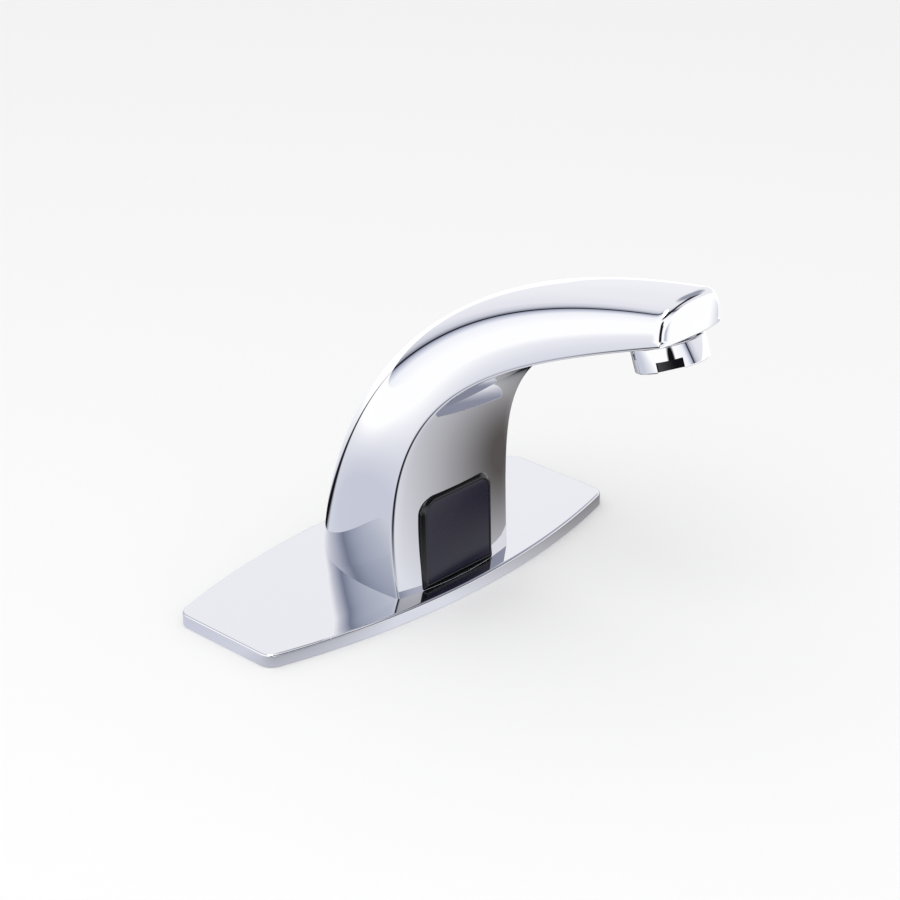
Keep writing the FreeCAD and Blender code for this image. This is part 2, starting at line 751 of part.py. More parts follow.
# ---------------------------------------------------------------- foot
def make_foot_plate():
    """The brass plate that closes the foot, with a boss down through the cover plate."""
    bottom = "plate_thickness + foot_seal_height"
    flange = foot_outline("foot_flange", "0", bottom, "foot_plate_height")
    boss = cylinder("foot_boss", "foot_boss_radius",
                    "plate_thickness + foot_seal_height", y="foot_plate_y")
    sockets = [cylinder(f"stud_socket_{side}", "stud_socket_radius", "stud_socket_depth",
                        x=f"{sign}stud_socket_reach", y="stud_socket_y")
               for side, sign in (("right", ""), ("left", "-"))]
    port = cylinder("inlet_port", "inlet_port_radius", "inlet_port_depth", y="inlet_y")
    way = cylinder("inlet_way", "inlet_tube_bore", FOOT_TOP, y="inlet_y")
    tube_seat = cylinder("tube_seat", "inlet_tube_radius + socket_fit", "tube_socket_depth",
                         y="inlet_y", z=f"{FOOT_TOP} - tube_socket_depth")
    lead_way = cylinder("lead_way", "grommet_radius", FOOT_TOP, y="grommet_y")
    screw_ways = []
    for side, sign in (("right", ""), ("left", "-")):
        screw_ways.append(cylinder(f"foot_screw_way_{side}", "foot_screw_radius",
                                   "foot_plate_height", x=f"{sign}foot_ear_reach",
                                   y="foot_plate_y", z=bottom))
        screw_ways.append(cylinder(f"foot_screw_sink_{side}",
                                   "foot_screw_head_radius + foot_fit", "foot_screw_head_height",
                                   x=f"{sign}foot_ear_reach", y="foot_plate_y", z=bottom))
    return keep(cut("foot_casting", fuse("foot_blank", flange, boss), *sockets, port, way,
                    tube_seat, lead_way, *screw_ways), "foot_plate")


def make_foot_screws():
    screws = []
    for side, sign in (("right", ""), ("left", "-")):
        place = {"x": f"{sign}foot_ear_reach", "y": "foot_plate_y"}
        head = cylinder(f"foot_screw_head_{side}", "foot_screw_head_radius",
                        "foot_screw_head_height", z="plate_thickness + foot_seal_height", **place)
        shank = cylinder(f"foot_screw_shank_{side}", "foot_screw_radius",
                         "foot_screw_length + foot_screw_head_height",
                         z="plate_thickness + foot_seal_height", **place)
        slot = block(f"foot_screw_slot_{side}", "2 * foot_screw_head_radius",
                     "foot_screw_radius / 2", "foot_screw_head_height / 2",
                     f"{sign}foot_ear_reach - foot_screw_head_radius",
                     "foot_plate_y - foot_screw_radius / 4", "plate_thickness + foot_seal_height")
        screws.append(cut(f"foot_screw_{side}", fuse(f"foot_screw_blank_{side}", head, shank), slot))
    return keep(fuse("foot_screw_pair", *screws), "foot_screws")


def make_foot_seal():
    ring = cylinder("foot_seal_ring", "foot_boss_radius + foot_seal_width + plate_hole_gap",
                    "foot_seal_height", y="foot_plate_y", z="plate_thickness")
    hole = cylinder("foot_seal_hole", "foot_boss_radius + plate_hole_gap / 2", "foot_seal_height",
                    y="foot_plate_y", z="plate_thickness")
    return keep(cut("foot_seal_cut", ring, hole), "foot_seal")


def make_cable_grommet():
    """A rubber bush in the foot plate, which the lead to the power supply passes through."""
    barrel = cylinder("grommet_barrel", "grommet_radius", FOOT_TOP, y="grommet_y")
    collar = cylinder("grommet_collar", "grommet_radius + grommet_flange", "grommet_flange",
                      y="grommet_y", z=FOOT_TOP)
    bore = cylinder("grommet_bore", "grommet_bore_radius", f"{FOOT_TOP} + grommet_flange",
                    y="grommet_y")
    return keep(cut("grommet_cut", fuse("grommet_blank", barrel, collar), bore), "cable_grommet")


def make_inlet_tube():
    bottom = f"{FOOT_TOP} - tube_socket_depth"
    length = f"{VALVE_FOOT} + tube_socket_depth - ({bottom})"
    outer = cylinder("inlet_tube_outer", "inlet_tube_radius", length, y="inlet_y", z=bottom)
    bore = cylinder("inlet_tube_inner", "inlet_tube_bore", length, y="inlet_y", z=bottom)
    return keep(cut("inlet_tube_cut", outer, bore), "inlet_tube")


def make_inlet_seals():
    """Rubber rings round both ends of the inlet tube, against the faces that it plugs into."""
    rings = []
    for name, z in (("lower", FOOT_TOP), ("upper", f"{VALVE_FOOT} - tube_seal_side")):
        ring = cylinder(f"inlet_seal_{name}_disc", "inlet_tube_radius + tube_seal_side",
                        "tube_seal_side", y="inlet_y", z=z)
        hole = cylinder(f"inlet_seal_{name}_hole", "inlet_tube_radius", "tube_seal_side",
                        y="inlet_y", z=z)
        rings.append(cut(f"inlet_seal_{name}", ring, hole))
    return keep(fuse("inlet_seal_pair", *rings), "inlet_seals")


# ---------------------------------------------------------------- solenoid valve
PISTON_FOOT = f"({VALVE_FOOT} + piston_travel + piston_floor_gap)"
SEAL_FOOT = f"({PISTON_FOOT} + piston_height)"
SEAT_FOOT = f"({SEAL_FOOT} + seal_disc_height + seat_gap)"
CHAMBER_TOP = f"({SEAT_FOOT} + seat_height)"


def on_valve(name, radius, height, z):
    """A cylinder on the valve's axis."""
    return cylinder(name, radius, height, y="valve_y", z=z)


def bonnet_screw_places():
    """The four screws stand on a circle, clear of the inlet lug and the coil's yoke."""
    return [(f"bonnet_screw_circle * cos({angle})", f"valve_y + bonnet_screw_circle * sin({angle})")
            for angle in (45, 135, 225, 315)]


def make_valve_body():
    drum = on_valve("valve_drum", "valve_radius", "valve_height", VALVE_FOOT)
    lug = cylinder("valve_lug", "valve_lug_radius", "valve_lug_height", y="inlet_y", z=VALVE_FOOT)
    spigot = on_valve("valve_spigot", "outlet_spigot_radius",
                      "valve_height + outlet_spigot_height", VALVE_FOOT)
    blank = fuse("valve_blank", drum, lug, spigot)
    chamber = on_valve("valve_chamber", "piston_radius + piston_gap",
                       f"{CHAMBER_TOP} - {VALVE_FOOT}", VALVE_FOOT)
    seat = on_valve("valve_seat", "seat_radius", "seat_height", SEAT_FOOT)
    room = cut("valve_room", chamber, seat)
    outlet = on_valve("valve_outlet", "outlet_passage_radius",
                      f"{VALVE_TOP} - {SEAT_FOOT}", SEAT_FOOT)
    tube_seat = on_valve("valve_tube_seat", "outlet_tube_radius + socket_fit",
                         "outlet_spigot_height", VALVE_TOP)
    inlet_seat = cylinder("valve_inlet_seat", "inlet_tube_radius + socket_fit",
                          "tube_socket_depth", y="inlet_y", z=VALVE_FOOT)
    rise = cylinder("valve_inlet_rise", "inlet_tube_bore",
                    f"{CHAMBER_TOP} - inlet_passage_drop - {VALVE_FOOT}", y="inlet_y",
                    z=VALVE_FOOT)
    across = forward_cylinder("valve_inlet_across", "inlet_passage_radius",
                              "inlet_y - valve_y - piston_radius + inlet_passage_radius",
                              y="inlet_y", z=f"{CHAMBER_TOP} - inlet_passage_drop")
    screw_holes = [cylinder(f"bonnet_hole_{number}", "bonnet_screw_radius",
                            "bonnet_screw_length - core_flange_height", x=x, y=y, z=VALVE_FOOT)
                   for number, (x, y) in enumerate(bonnet_screw_places(), start=1)]
    return keep(cut("valve_cut", blank, room, outlet, tube_seat, inlet_seat, rise, across,
                    *screw_holes), "valve_body")


def make_valve_piston():
    """The disc that the pilot pressure holds on the seat, with its pilot hole."""
    disc = on_valve("piston_disc", "piston_radius", "piston_height", PISTON_FOOT)
    pilot = on_valve("piston_pilot", "spring_wire", "piston_height", PISTON_FOOT)
    groove = on_valve("piston_groove", "piston_radius", "piston_height / 3",
                      f"{PISTON_FOOT} + piston_height / 3")
    groove_core = on_valve("piston_groove_core", "piston_radius - spring_wire", "piston_height / 3",
                           f"{PISTON_FOOT} + piston_height / 3")
    return keep(cut("piston_cut", disc, pilot, cut("piston_groove_ring", groove, groove_core)),
                "valve_piston")


def make_piston_seal():
    disc = on_valve("seal_disc", "seal_disc_radius", "seal_disc_height", SEAL_FOOT)
    pilot = on_valve("seal_pilot", "spring_wire", "seal_disc_height", SEAL_FOOT)
    return keep(cut("seal_cut", disc, pilot), "piston_seal")


TUBE_BORE = "(core_tube_radius - core_tube_wall)"
PLUNGER_TOP = f"({PISTON_FOOT} - plunger_tip_gap)"
SPRING_FOOT = f"({TUBE_FOOT} + core_tube_wall)"
PLUNGER_FOOT = f"({PLUNGER_TOP} - plunger_length)"


def make_core_tube():
    """The armature tube, closed below, with the flange that closes the valve body."""
    tube = on_valve("core_tube_outer", "core_tube_radius", "core_tube_length", TUBE_FOOT)
    flange = on_valve("core_flange", "core_flange_radius", "core_flange_height",
                      f"{VALVE_FOOT} - core_flange_height")
    bore = on_valve("core_bore", TUBE_BORE, "core_tube_length", SPRING_FOOT)
    holes = [cylinder(f"core_hole_{number}", "bonnet_screw_radius", "core_flange_height", x=x, y=y,
                      z=f"{VALVE_FOOT} - core_flange_height")
             for number, (x, y) in enumerate(bonnet_screw_places(), start=1)]
    relief = cylinder("core_relief", "inlet_tube_radius + tube_seal_side + foot_fit",
                      "core_flange_height", y="inlet_y", z=f"{VALVE_FOOT} - core_flange_height")
    return keep(cut("core_tube_cut", fuse("core_tube_blank", tube, flange), bore, *holes, relief),
                "core_tube")


def make_bonnet_screws():
    screws = []
    for number, (x, y) in enumerate(bonnet_screw_places(), start=1):
        head = cylinder(f"bonnet_head_{number}", "bonnet_screw_head", "bonnet_screw_head_height",
                        x=x, y=y,
                        z=f"{VALVE_FOOT} - core_flange_height - bonnet_screw_head_height")
        shank = cylinder(f"bonnet_shank_{number}", "bonnet_screw_radius",
                         "bonnet_screw_length + bonnet_screw_head_height", x=x, y=y,
                         z=f"{VALVE_FOOT} - core_flange_height - bonnet_screw_head_height")
        screws += [head, shank]
    return keep(fuse("bonnet_screw_set", *screws), "bonnet_screws")


def make_plunger():
    rod = on_valve("plunger_rod", f"{TUBE_BORE} - plunger_gap", "plunger_length", PLUNGER_FOOT)
    pocket = on_valve("plunger_pocket", "core_tube_radius / 4", "plunger_length / 4", PLUNGER_FOOT)
    return keep(cut("plunger_cut", rod, pocket), "plunger")


def make_plunger_spring():
    """A helical spring of six-sided wire, from the core tube's closed end to the plunger."""
    height = (size("core_tube_length") + size("piston_travel") + size("piston_floor_gap")
              - size("plunger_tip_gap") - size("plunger_length") - size("core_tube_wall"))
    wire = size("spring_wire")
    coil_radius = size("core_tube_radius") - size("core_tube_wall") - wire
    free = height - wire
    helix = Part.makeHelix(free / size("spring_turns"), free, coil_radius)
    angles = [math.radians(60 * corner) for corner in range(6)]
    hexagon = [Vector(coil_radius + wire / 2 * math.cos(angle), 0, wire / 2 * math.sin(angle))
               for angle in angles]
    section = Part.makePolygon(hexagon + hexagon[:1])
    spring = Part.Wire(helix.Edges).makePipeShell([section], True, True)
    foot = height_of(CORE_LAYERS) + size("core_tube_wall")
    spring.translate(Vector(0, size("valve_y"), foot + wire / 2))
    return keep(solid("plunger_spring_solid", spring), "plunger_spring")


YOKE_TOP = f"({VALVE_FOOT} - core_flange_height - bonnet_screw_head_height)"
YOKE_HEIGHT = "(coil_height + coil_gap + 2 * yoke_thickness)"
YOKE_FOOT = f"({YOKE_TOP} - {YOKE_HEIGHT})"
YOKE_REACH = "(coil_radius + coil_gap + yoke_thickness)"


def make_solenoid_coil():
    foot = f"{YOKE_FOOT} + yoke_thickness"
    outer = on_valve("coil_outer", "coil_radius", "coil_height", foot)
    bore = on_valve("coil_bore", "core_tube_radius + socket_fit", "coil_height", foot)
    return keep(cut("coil_cut", outer, bore), "solenoid_coil")


def make_coil_yoke():
    """A steel strap round the coil, open to the front and the back."""
    outside = block("yoke_outside", f"2 * {YOKE_REACH}", "yoke_width", YOKE_HEIGHT,
                    f"-{YOKE_REACH}", "valve_y - yoke_width / 2", YOKE_FOOT)
    inside = block("yoke_inside", f"2 * ({YOKE_REACH} - yoke_thickness)", "yoke_width",
                   "coil_height + coil_gap", f"yoke_thickness - {YOKE_REACH}",
                   "valve_y - yoke_width / 2", f"{YOKE_FOOT} + yoke_thickness")
    bore = on_valve("yoke_bore", "core_tube_radius + socket_fit", YOKE_HEIGHT, YOKE_FOOT)
    return keep(cut("yoke_cut", outside, inside, bore), "coil_yoke")


def make_coil_clip():
    """A sprung ring on the end of the core tube, which holds the coil and its yoke."""
    z = f"{YOKE_FOOT} - clip_height"
    ring = on_valve("clip_ring", "clip_radius", "clip_height", z)
    hole = on_valve("clip_hole", "core_tube_radius + socket_fit / 2", "clip_height", z)
    gap = block("clip_gap", "core_tube_radius", "clip_radius", "clip_height",
                "-core_tube_radius / 2", "valve_y", z)
    return keep(cut("clip_cut", ring, hole, gap), "coil_clip")


# ---------------------------------------------------------------- aerator
def turned(name, outline):
    """A ring turned round +Z from a closed outline of radius and height."""
    points = [Vector(radius, 0, height) for radius, height in outline]
    face = Part.Face(Part.makePolygon(points + points[:1]))
    return solid(name, face.revolve(Vector(0, 0, 0), Vector(0, 0, 1), 360))


def make_aerator_housing():
    """The chromed ring with its threaded neck and two notches for the key."""
    outer = size("aerator_radius")
    neck = size("thread_radius") - size("thread_gap")
    bore = neck - size("aerator_wall")
    lip = bore - size("aerator_lip")
    top = -size("aerator_gap")
    foot = top - size("aerator_collar")
    neck_top = size("neck_length")
    lip_top = foot + size("aerator_lip_height")
    body = new_body("aerator_housing_body")
    profile = new_sketch(body, "housing_profile", "XZ_Plane")
    corners = [(lip, foot), (outer, foot), (outer, top), (neck, top), (neck, neck_top),
               (bore, neck_top), (bore, lip_top), (lip, lip_top)]
    formulas_x = ["thread_radius - thread_gap - aerator_wall - aerator_lip", "aerator_radius",
                  "aerator_radius", "thread_radius - thread_gap", "thread_radius - thread_gap",
                  "thread_radius - thread_gap - aerator_wall",
                  "thread_radius - thread_gap - aerator_wall",
                  "thread_radius - thread_gap - aerator_wall - aerator_lip"]
    foot_formula = "-(aerator_gap + aerator_collar)"
    formulas_z = [foot_formula, foot_formula, "-aerator_gap", "-aerator_gap", "neck_length",
                  "neck_length", f"{foot_formula} + aerator_lip_height",
                  f"{foot_formula} + aerator_lip_height"]
    count = len(corners)
    for first, second in zip(corners, corners[1:] + corners[:1]):
        profile.addGeometry(Part.LineSegment(Vector(*first, 0), Vector(*second, 0)))
    for index in range(count):
        profile.addConstraint(Sketcher.Constraint("Coincident", index, 2, (index + 1) % count, 1))
        constrain(profile, "DistanceX", -1, 1, index, 1, formula=formulas_x[index])
        constrain(profile, "DistanceY", -1, 1, index, 1, formula=formulas_z[index])
    ring = body.newObject("PartDesign::Revolution", "housing_ring")
    ring.Profile = profile
    ring.ReferenceAxis = (profile, ["V_Axis"])
    ring.Angle = 360
    doc.recompute()
    edges = bevel_edges(
        body, ring, "aerator_edge_bevel",
        lambda edge: abs(edge.BoundBox.XMax - outer) < NEAR, "housing_edges")
    notch = new_sketch(body, "housing_notch", "XZ_Plane", "thread_radius - thread_gap - aerator_wall / 2")
    half, low, high = 1.0, -2.0, -1.0
    loop = [Vector(-half, low, 0), Vector(half, low, 0), Vector(half, high, 0),
            Vector(-half, high, 0)]
    for first, second in zip(loop, loop[1:] + loop[:1]):
        notch.addGeometry(Part.LineSegment(first, second))
    for index in range(4):
        notch.addConstraint(Sketcher.Constraint("Coincident", index, 2, (index + 1) % 4, 1))
    for index, way in ((0, "Horizontal"), (2, "Horizontal"), (1, "Vertical"), (3, "Vertical")):
        notch.addConstraint(Sketcher.Constraint(way, index))
    constrain(notch, "DistanceX", -1, 1, 1, 1, formula="notch_width / 2")
    constrain(notch, "DistanceX", -1, 1, 3, 1, formula="-notch_width / 2")
    constrain(notch, "DistanceY", -1, 1, 0, 1, formula=foot_formula)
    constrain(notch, "DistanceY", -1, 1, 2, 1, formula=f"{foot_formula} + notch_height")
    pocket = add_pocket(body, notch, "aerator_radius", "notch_pocket", reverse=True)
    doc.recompute()
    assert pocket.Shape.Volume < edges.Shape.Volume
    pattern = body.newObject("PartDesign::PolarPattern", "notch_pair")
    pattern.Originals = [pocket]
    pattern.Axis = (profile, ["V_Axis"])
    pattern.Angle = 360
    pattern.Occurrences = 2
    body.Tip = pattern
    doc.recompute()
    assert pattern.Shape.Volume < pocket.Shape.Volume
    turn = Rotation(Vector(0, 0, 1), -size("notch_turn"))
    body.Placement = AERATOR_PLACE.multiply(Placement(Vector(0, 0, 0), turn))
    return keep(body, "aerator_housing")


def insert_sizes():
    """Radius, foot and top of the plastic insert inside the aerator's housing."""
    radius = size("thread_radius") - size("thread_gap") - size("aerator_wall") - size("insert_gap")
    foot = -size("aerator_gap") - size("aerator_collar") + size("aerator_lip_height")
    return radius, foot, size("neck_length")


INSERT_JETS = 8
FORMER_RINGS = 3


def make_aerator_insert():
    """A plastic sleeve with a perforated upper disc, which mixes air into the water."""
    radius, foot, top = insert_sizes()
    foot += size("former_height")
    bore = radius - size("insert_wall")
    disc_foot = top - 2 * size("insert_wall")
    outline = [(bore, foot), (radius, foot), (radius, top), (0.0, top), (0.0, disc_foot),
               (bore, disc_foot)]
    sleeve = turned("insert_sleeve", outline)
    jets = []
    reach = size("insert_jet_circle")
    for number in range(INSERT_JETS):
        angle = 2 * math.pi * number / INSERT_JETS
        place = Vector(reach * math.cos(angle), reach * math.sin(angle), disc_foot)
        jets.append(Part.makeCylinder(size("insert_jet_radius"), top - disc_foot, place))
    ports = solid("insert_jets", jets[0].multiFuse(jets[1:]))
    return keep(in_nose(cut("insert_cut", sleeve, ports)), "aerator_insert")


def honeycomb_cell(x, y, foot):
    """A six-sided hole of the stream former."""
    corners = [Vector(x + size("former_cell_radius") * math.cos(math.radians(60 * corner)),
                      y + size("former_cell_radius") * math.sin(math.radians(60 * corner)), foot)
               for corner in range(6)]
    face = Part.Face(Part.makePolygon(corners + corners[:1]))
    return face.extrude(Vector(0, 0, size("former_height")))


def make_stream_former():
    """The honeycomb disc that the water leaves through."""
    radius, foot, top = insert_sizes()
    disc = Part.makeCylinder(radius, size("former_height"), Vector(0, 0, foot))
    cells = [honeycomb_cell(0, 0, foot)]
    for ring in range(1, FORMER_RINGS + 1):
        for number in range(6 * ring):
            angle = 2 * math.pi * number / (6 * ring)
            reach = ring * size("former_ring_step")
            cells.append(honeycomb_cell(reach * math.cos(angle), reach * math.sin(angle), foot))
    return keep(in_nose(solid("stream_former_solid", disc.cut(cells))), "stream_former")


def make_aerator_screen():
    """The fine strainer on top of the insert, as one thin domed disc."""
    radius, foot, top = insert_sizes()
    height = size("screen_height")
    disc = Part.makeCone(radius, radius - 2 * height, height, Vector(0, 0, top))
    return keep(in_nose(solid("aerator_screen_solid", disc)), "aerator_screen")


def make_aerator_washer():
    """The rubber ring between the neck and the shoulder of the socket."""
    outer = size("thread_radius") - 4 * size("thread_gap")
    bottom = size("neck_length")
    inner = insert_sizes()[0] + size("insert_gap")
    top = size("thread_socket_depth")
    outline = [(inner, bottom), (outer, bottom), (outer, top), (inner, top)]
    return keep(in_nose(turned("aerator_washer_solid", outline)), "aerator_washer")


# ---------------------------------------------------------------- sensor
WINDOW_BACK = f"({BEZEL_FRONT} - window_sunk - window_thickness)"


def make_sensor_bezel():
    """The black frame with bevelled edges, set into the front face."""
    body, slab = arched_prism("sensor_bezel_body", BEZEL_BACK, "bezel_proud + bezel_sunk",
                              "0")
    front = size("front_foot_y") - size("bezel_proud")
    bevel = bevel_edges(body, slab, "bezel_bevel",
                        lambda edge: edge.BoundBox.YMax < front + NEAR, "bezel_bevel_edge")
    seat = arched_sketch(body, "window_seat", WINDOW_BACK, "bezel_half_width - bezel_frame",
                         "plate_thickness + bezel_bottom_gap + bezel_frame",
                         "plate_thickness + bezel_bottom_gap + bezel_height - bezel_frame",
                         "bezel_corner_radius - bezel_frame")
    recess = add_pocket(body, seat, "bezel_proud + bezel_sunk", "window_recess", reverse=True)
    opening = arched_sketch(
        body, "case_opening", BEZEL_BACK, "sensor_case_half_width - sensor_case_wall",
        "plate_thickness + sensor_case_bottom + sensor_case_wall",
        "plate_thickness + sensor_case_bottom + sensor_case_height - sensor_case_wall",
        "sensor_case_wall")
    through = add_pocket(body, opening, "bezel_proud + bezel_sunk", "case_mouth", reverse=True)
    doc.recompute()
    assert through.Shape.Volume < recess.Shape.Volume < bevel.Shape.Volume
    return keep(body, "sensor_bezel")


def make_sensor_window():
    body, _ = arched_prism("sensor_window_body", WINDOW_BACK, "window_thickness",
                           "(bezel_frame + window_fit)")
    return keep(body, "sensor_window")


def make_sensor_gasket():
    """The rubber frame between the bezel and its seat in the body."""
    body, frame = arched_prism("sensor_gasket_body", f"{BEZEL_BACK} - sensor_gasket_thickness",
                               "sensor_gasket_thickness", "(0.5 * bezel_frame)")
    opening = arched_sketch(body, "gasket_window", f"{BEZEL_BACK} - sensor_gasket_thickness",
                            "sensor_case_half_width + sensor_case_fit",
                            "plate_thickness + sensor_case_bottom - sensor_case_fit",
                            "plate_thickness + sensor_case_bottom + sensor_case_height"
                            " + sensor_case_fit", "sensor_case_wall")
    hole = add_pocket(body, opening, "bezel_sunk", "gasket_mouth", reverse=True)
    doc.recompute()
    assert hole.Shape.Volume < frame.Shape.Volume
    return keep(body, "sensor_gasket")


CASE_FRONT_Y = "(front_foot_y + bezel_sunk)"
CASE_BACK_Y = f"({CASE_FRONT_Y} + sensor_case_depth)"
BOARD_Y = f"({CASE_BACK_Y} - board_back_gap - board_thickness)"
EYE_Z = "(plate_thickness + sensor_case_bottom + sensor_case_height / 2)"


def make_sensor_case():
    shell = case_block("case_shell", "0", CASE_FRONT_Y, "sensor_case_depth")
    room = case_block("case_room", "(-sensor_case_wall)", CASE_FRONT_Y, "sensor_case_depth")
    case = keep(cut("case_cut", shell, room), "sensor_case")
    cover = keep(case_block("case_cover", "0", CASE_BACK_Y, "sensor_cover_thickness"),
                 "sensor_cover")
    board = keep(case_block("board_sheet", "(-sensor_case_wall - board_gap)", BOARD_Y,
                            "board_thickness"), "sensor_board")
    return case, cover, board


def make_eye(label, x, z, radius):
    """A lamp or receiver in a clear round case: a flange on the board and a bevelled rod."""
    name = label.replace("_", "")
    flange = forward_cylinder(name + "_flange", f"{radius} + eye_flange", "eye_flange", x=x,
                              y=BOARD_Y, z=z)
    rod = forward_cylinder(name + "_rod", radius, f"eye_length - {radius} / 2", x=x, y=BOARD_Y,
                           z=z)
    tip = doc.addObject("Part::Cone", name + "_tip")
    tip.Placement = Placement(Vector(0, 0, 0), Rotation(Vector(1, 0, 0), 90))
    bind(tip, Radius1=radius, Radius2=f"{radius} / 2", Height=f"{radius} / 2", x=x,
         y=f"{BOARD_Y} - eye_length + {radius} / 2", z=z)
    return keep(fuse(name + "_eye", flange, rod, tip), label)


# ---------------------------------------------------------------- assembly
make_deck_plate()
make_deck_gasket()
make_spout_body()
make_foot_plate()
make_foot_screws()
make_foot_seal()
make_cable_grommet()
make_inlet_tube()
make_inlet_seals()
make_valve_body()
make_valve_piston()
make_piston_seal()
make_core_tube()
make_bonnet_screws()
make_plunger()
make_plunger_spring()
make_solenoid_coil()
make_coil_yoke()
make_coil_clip()
make_outlet_tube()
make_aerator_housing()
make_aerator_insert()
make_stream_former()
make_aerator_screen()
make_aerator_washer()
make_sensor_bezel()
make_sensor_window()
make_sensor_gasket()
make_sensor_case()
make_eye("ir_emitter", "-eye_spread", EYE_Z, "eye_radius")
make_eye("ir_receiver", "eye_spread", EYE_Z, "eye_radius")
make_eye("status_lamp", "0", f"{EYE_Z} + lamp_rise", "lamp_radius")
doc.recompute()


# ---------------------------------------------------------------- checks and export
def check(objects):
    """Stop if any feature failed or any piece isn't a valid solid."""
    for obj in doc.Objects:
        if "Invalid" in obj.State or "Error" in obj.State:
            raise RuntimeError(f"{obj.Name} failed: {obj.State}")
    for obj in objects:
        shape = obj.Shape
        if shape.isNull() or not shape.isValid() or not shape.Solids:
            raise RuntimeError(f"{obj.Label} has no valid solid")


check(nodes)
os.makedirs("parts", exist_ok=True)
for node in nodes:
    node.Shape.exportStep(f"parts/{node.Label}.step")
    print(f"{node.Label:18s} {len(node.Shape.Solids)} solid(s) {node.Shape.Volume:10.1f} mm3")
print(f"{len(nodes)} nodes; aerator axis leans {LEAN:.1f} degrees, seat at {tuple(SEAT)}")
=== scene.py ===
import json
import math

import bpy
import numpy as np
from bpy.props import FloatProperty, FloatVectorProperty, IntProperty, PointerProperty
from mathutils import Matrix, Vector


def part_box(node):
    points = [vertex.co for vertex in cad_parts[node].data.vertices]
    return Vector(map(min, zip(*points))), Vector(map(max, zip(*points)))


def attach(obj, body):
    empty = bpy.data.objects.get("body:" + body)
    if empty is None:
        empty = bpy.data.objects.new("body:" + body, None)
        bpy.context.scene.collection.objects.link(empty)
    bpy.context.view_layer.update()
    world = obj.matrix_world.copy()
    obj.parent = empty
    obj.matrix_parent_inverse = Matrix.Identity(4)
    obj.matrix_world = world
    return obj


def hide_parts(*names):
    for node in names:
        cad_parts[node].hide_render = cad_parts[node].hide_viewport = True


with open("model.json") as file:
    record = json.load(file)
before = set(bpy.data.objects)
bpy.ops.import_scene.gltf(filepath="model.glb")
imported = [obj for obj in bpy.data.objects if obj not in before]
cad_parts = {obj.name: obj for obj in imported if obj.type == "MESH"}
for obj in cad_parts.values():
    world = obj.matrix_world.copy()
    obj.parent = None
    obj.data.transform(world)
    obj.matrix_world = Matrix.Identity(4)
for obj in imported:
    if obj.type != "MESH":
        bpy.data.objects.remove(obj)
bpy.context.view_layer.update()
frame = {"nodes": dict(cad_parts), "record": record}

bl_info = {
    "name": "Sensor Tap",
    "version": (1, 0, 0),
    "blender": (4, 5, 0),
    "location": "View3D > Sidebar > Sensor Tap",
    "description": "Builds the visible surfaces of a deck-mounted sensor tap and a studio for it",
    "category": "Object",
}

MM = 0.001

# The spout's form, as in the CAD model: side profiles as control points (Y, Z), the half width
# from foot to nose as control values, and the section's bowed front, bulged sides and crown.
FRONT_CURVE_MM = ((-24.2, 4.6), (-16.1, 71.2), (-36.0, 87.2), (-115.0, 115.5))
BACK_CURVE_MM = ((27.5, 4.6), (16.1, 60.8), (-8.9, 115.5), (-116.0, 129.6))
HALF_WIDTHS_MM = (26.8, 31.5, 18.1, 17.1, 14.2)
FRONT_BOW_MM = 3.0
BULGE_SHARE = 0.23
CORNER_INSET_MM = (0.67, 0.142)
CROWN_POWER = (2.05, 2.65)

# The stretches of half a section, from the middle of the front round to the back, and how many
# steps each is drawn in.
FRONT, CORNER, SIDE, CROWN = range(4)
SECTION_STEPS = {FRONT: 8, CORNER: 7, SIDE: 16, CROWN: 64}

# How the front corner's circle is found: how often its place is mended, and by which share.
CORNER_ROUNDS, CORNER_MEND = 16, 0.8

# Where to look for the end of each line of the skin, and for the aerator's seat on the front
# profile: the first and the last station tried, and how many.
NOSE_SEARCH, SEAT_SEARCH = (0.85, 1.04, 381), (0.8, 1.0, 20001)

# The rings of the nose's rounded edge and of its end face.
NOSE_EDGE_RINGS, NOSE_FACE_RINGS = 12, 8

# Where the aerator's axis meets the underside of the nose.
AERATOR_Y_MM = -107.15

# A Mix node's colour sockets, by number, because its names repeat: two inputs and the output.
MIX_BASE, MIX_OVER, MIX_RESULT = 6, 7, 2


# ---------------------------------------------------------------- colours and nodes
def shade(hex_text):
    """An sRGB hex colour as linear red, green, blue and alpha."""
    channels = [int(hex_text[i:i + 2], 16) / 255 for i in (1, 3, 5)]
    return (*[c / 12.92 if c <= 0.04045 else ((c + 0.055) / 1.055) ** 2.4 for c in channels], 1.0)


def add_node(tree, kind, settings=None, inputs=None):
    """A node with its settings; an input is a plain value, or an output socket to link from."""
    node = tree.nodes.new(kind)
    for name, value in (settings or {}).items():
        setattr(node, name, value)
    for key, value in (inputs or {}).items():
        if isinstance(value, bpy.types.NodeSocket):
            tree.links.new(value, node.inputs[key])
        else:
            node.inputs[key].default_value = value
    return node


def new_material(name):
    """An empty node material and its tree."""
    material = bpy.data.materials.new(name)
    material.use_nodes = True
    material.node_tree.nodes.clear()
    return material, material.node_tree


def finish_surface(material, tree, surface):
    """Join a shader to the material's output."""
    output = add_node(tree, "ShaderNodeOutputMaterial")
    tree.links.new(surface, output.inputs["Surface"])
    return material


def uneven(tree, size_mm, low, high, detail=2.0):
    """A value that wanders between two limits over a real size, in Object coordinates."""
    place = add_node(tree, "ShaderNodeTexCoord").outputs["Object"]
    noise = add_node(tree, "ShaderNodeTexNoise", inputs={
        "Vector": place, "Scale": 1 / (size_mm * MM), "Detail": detail}).outputs["Fac"]
    return add_node(tree, "ShaderNodeMapRange", inputs={
        "Value": noise, "To Min": low, "To Max": high}).outputs["Result"]


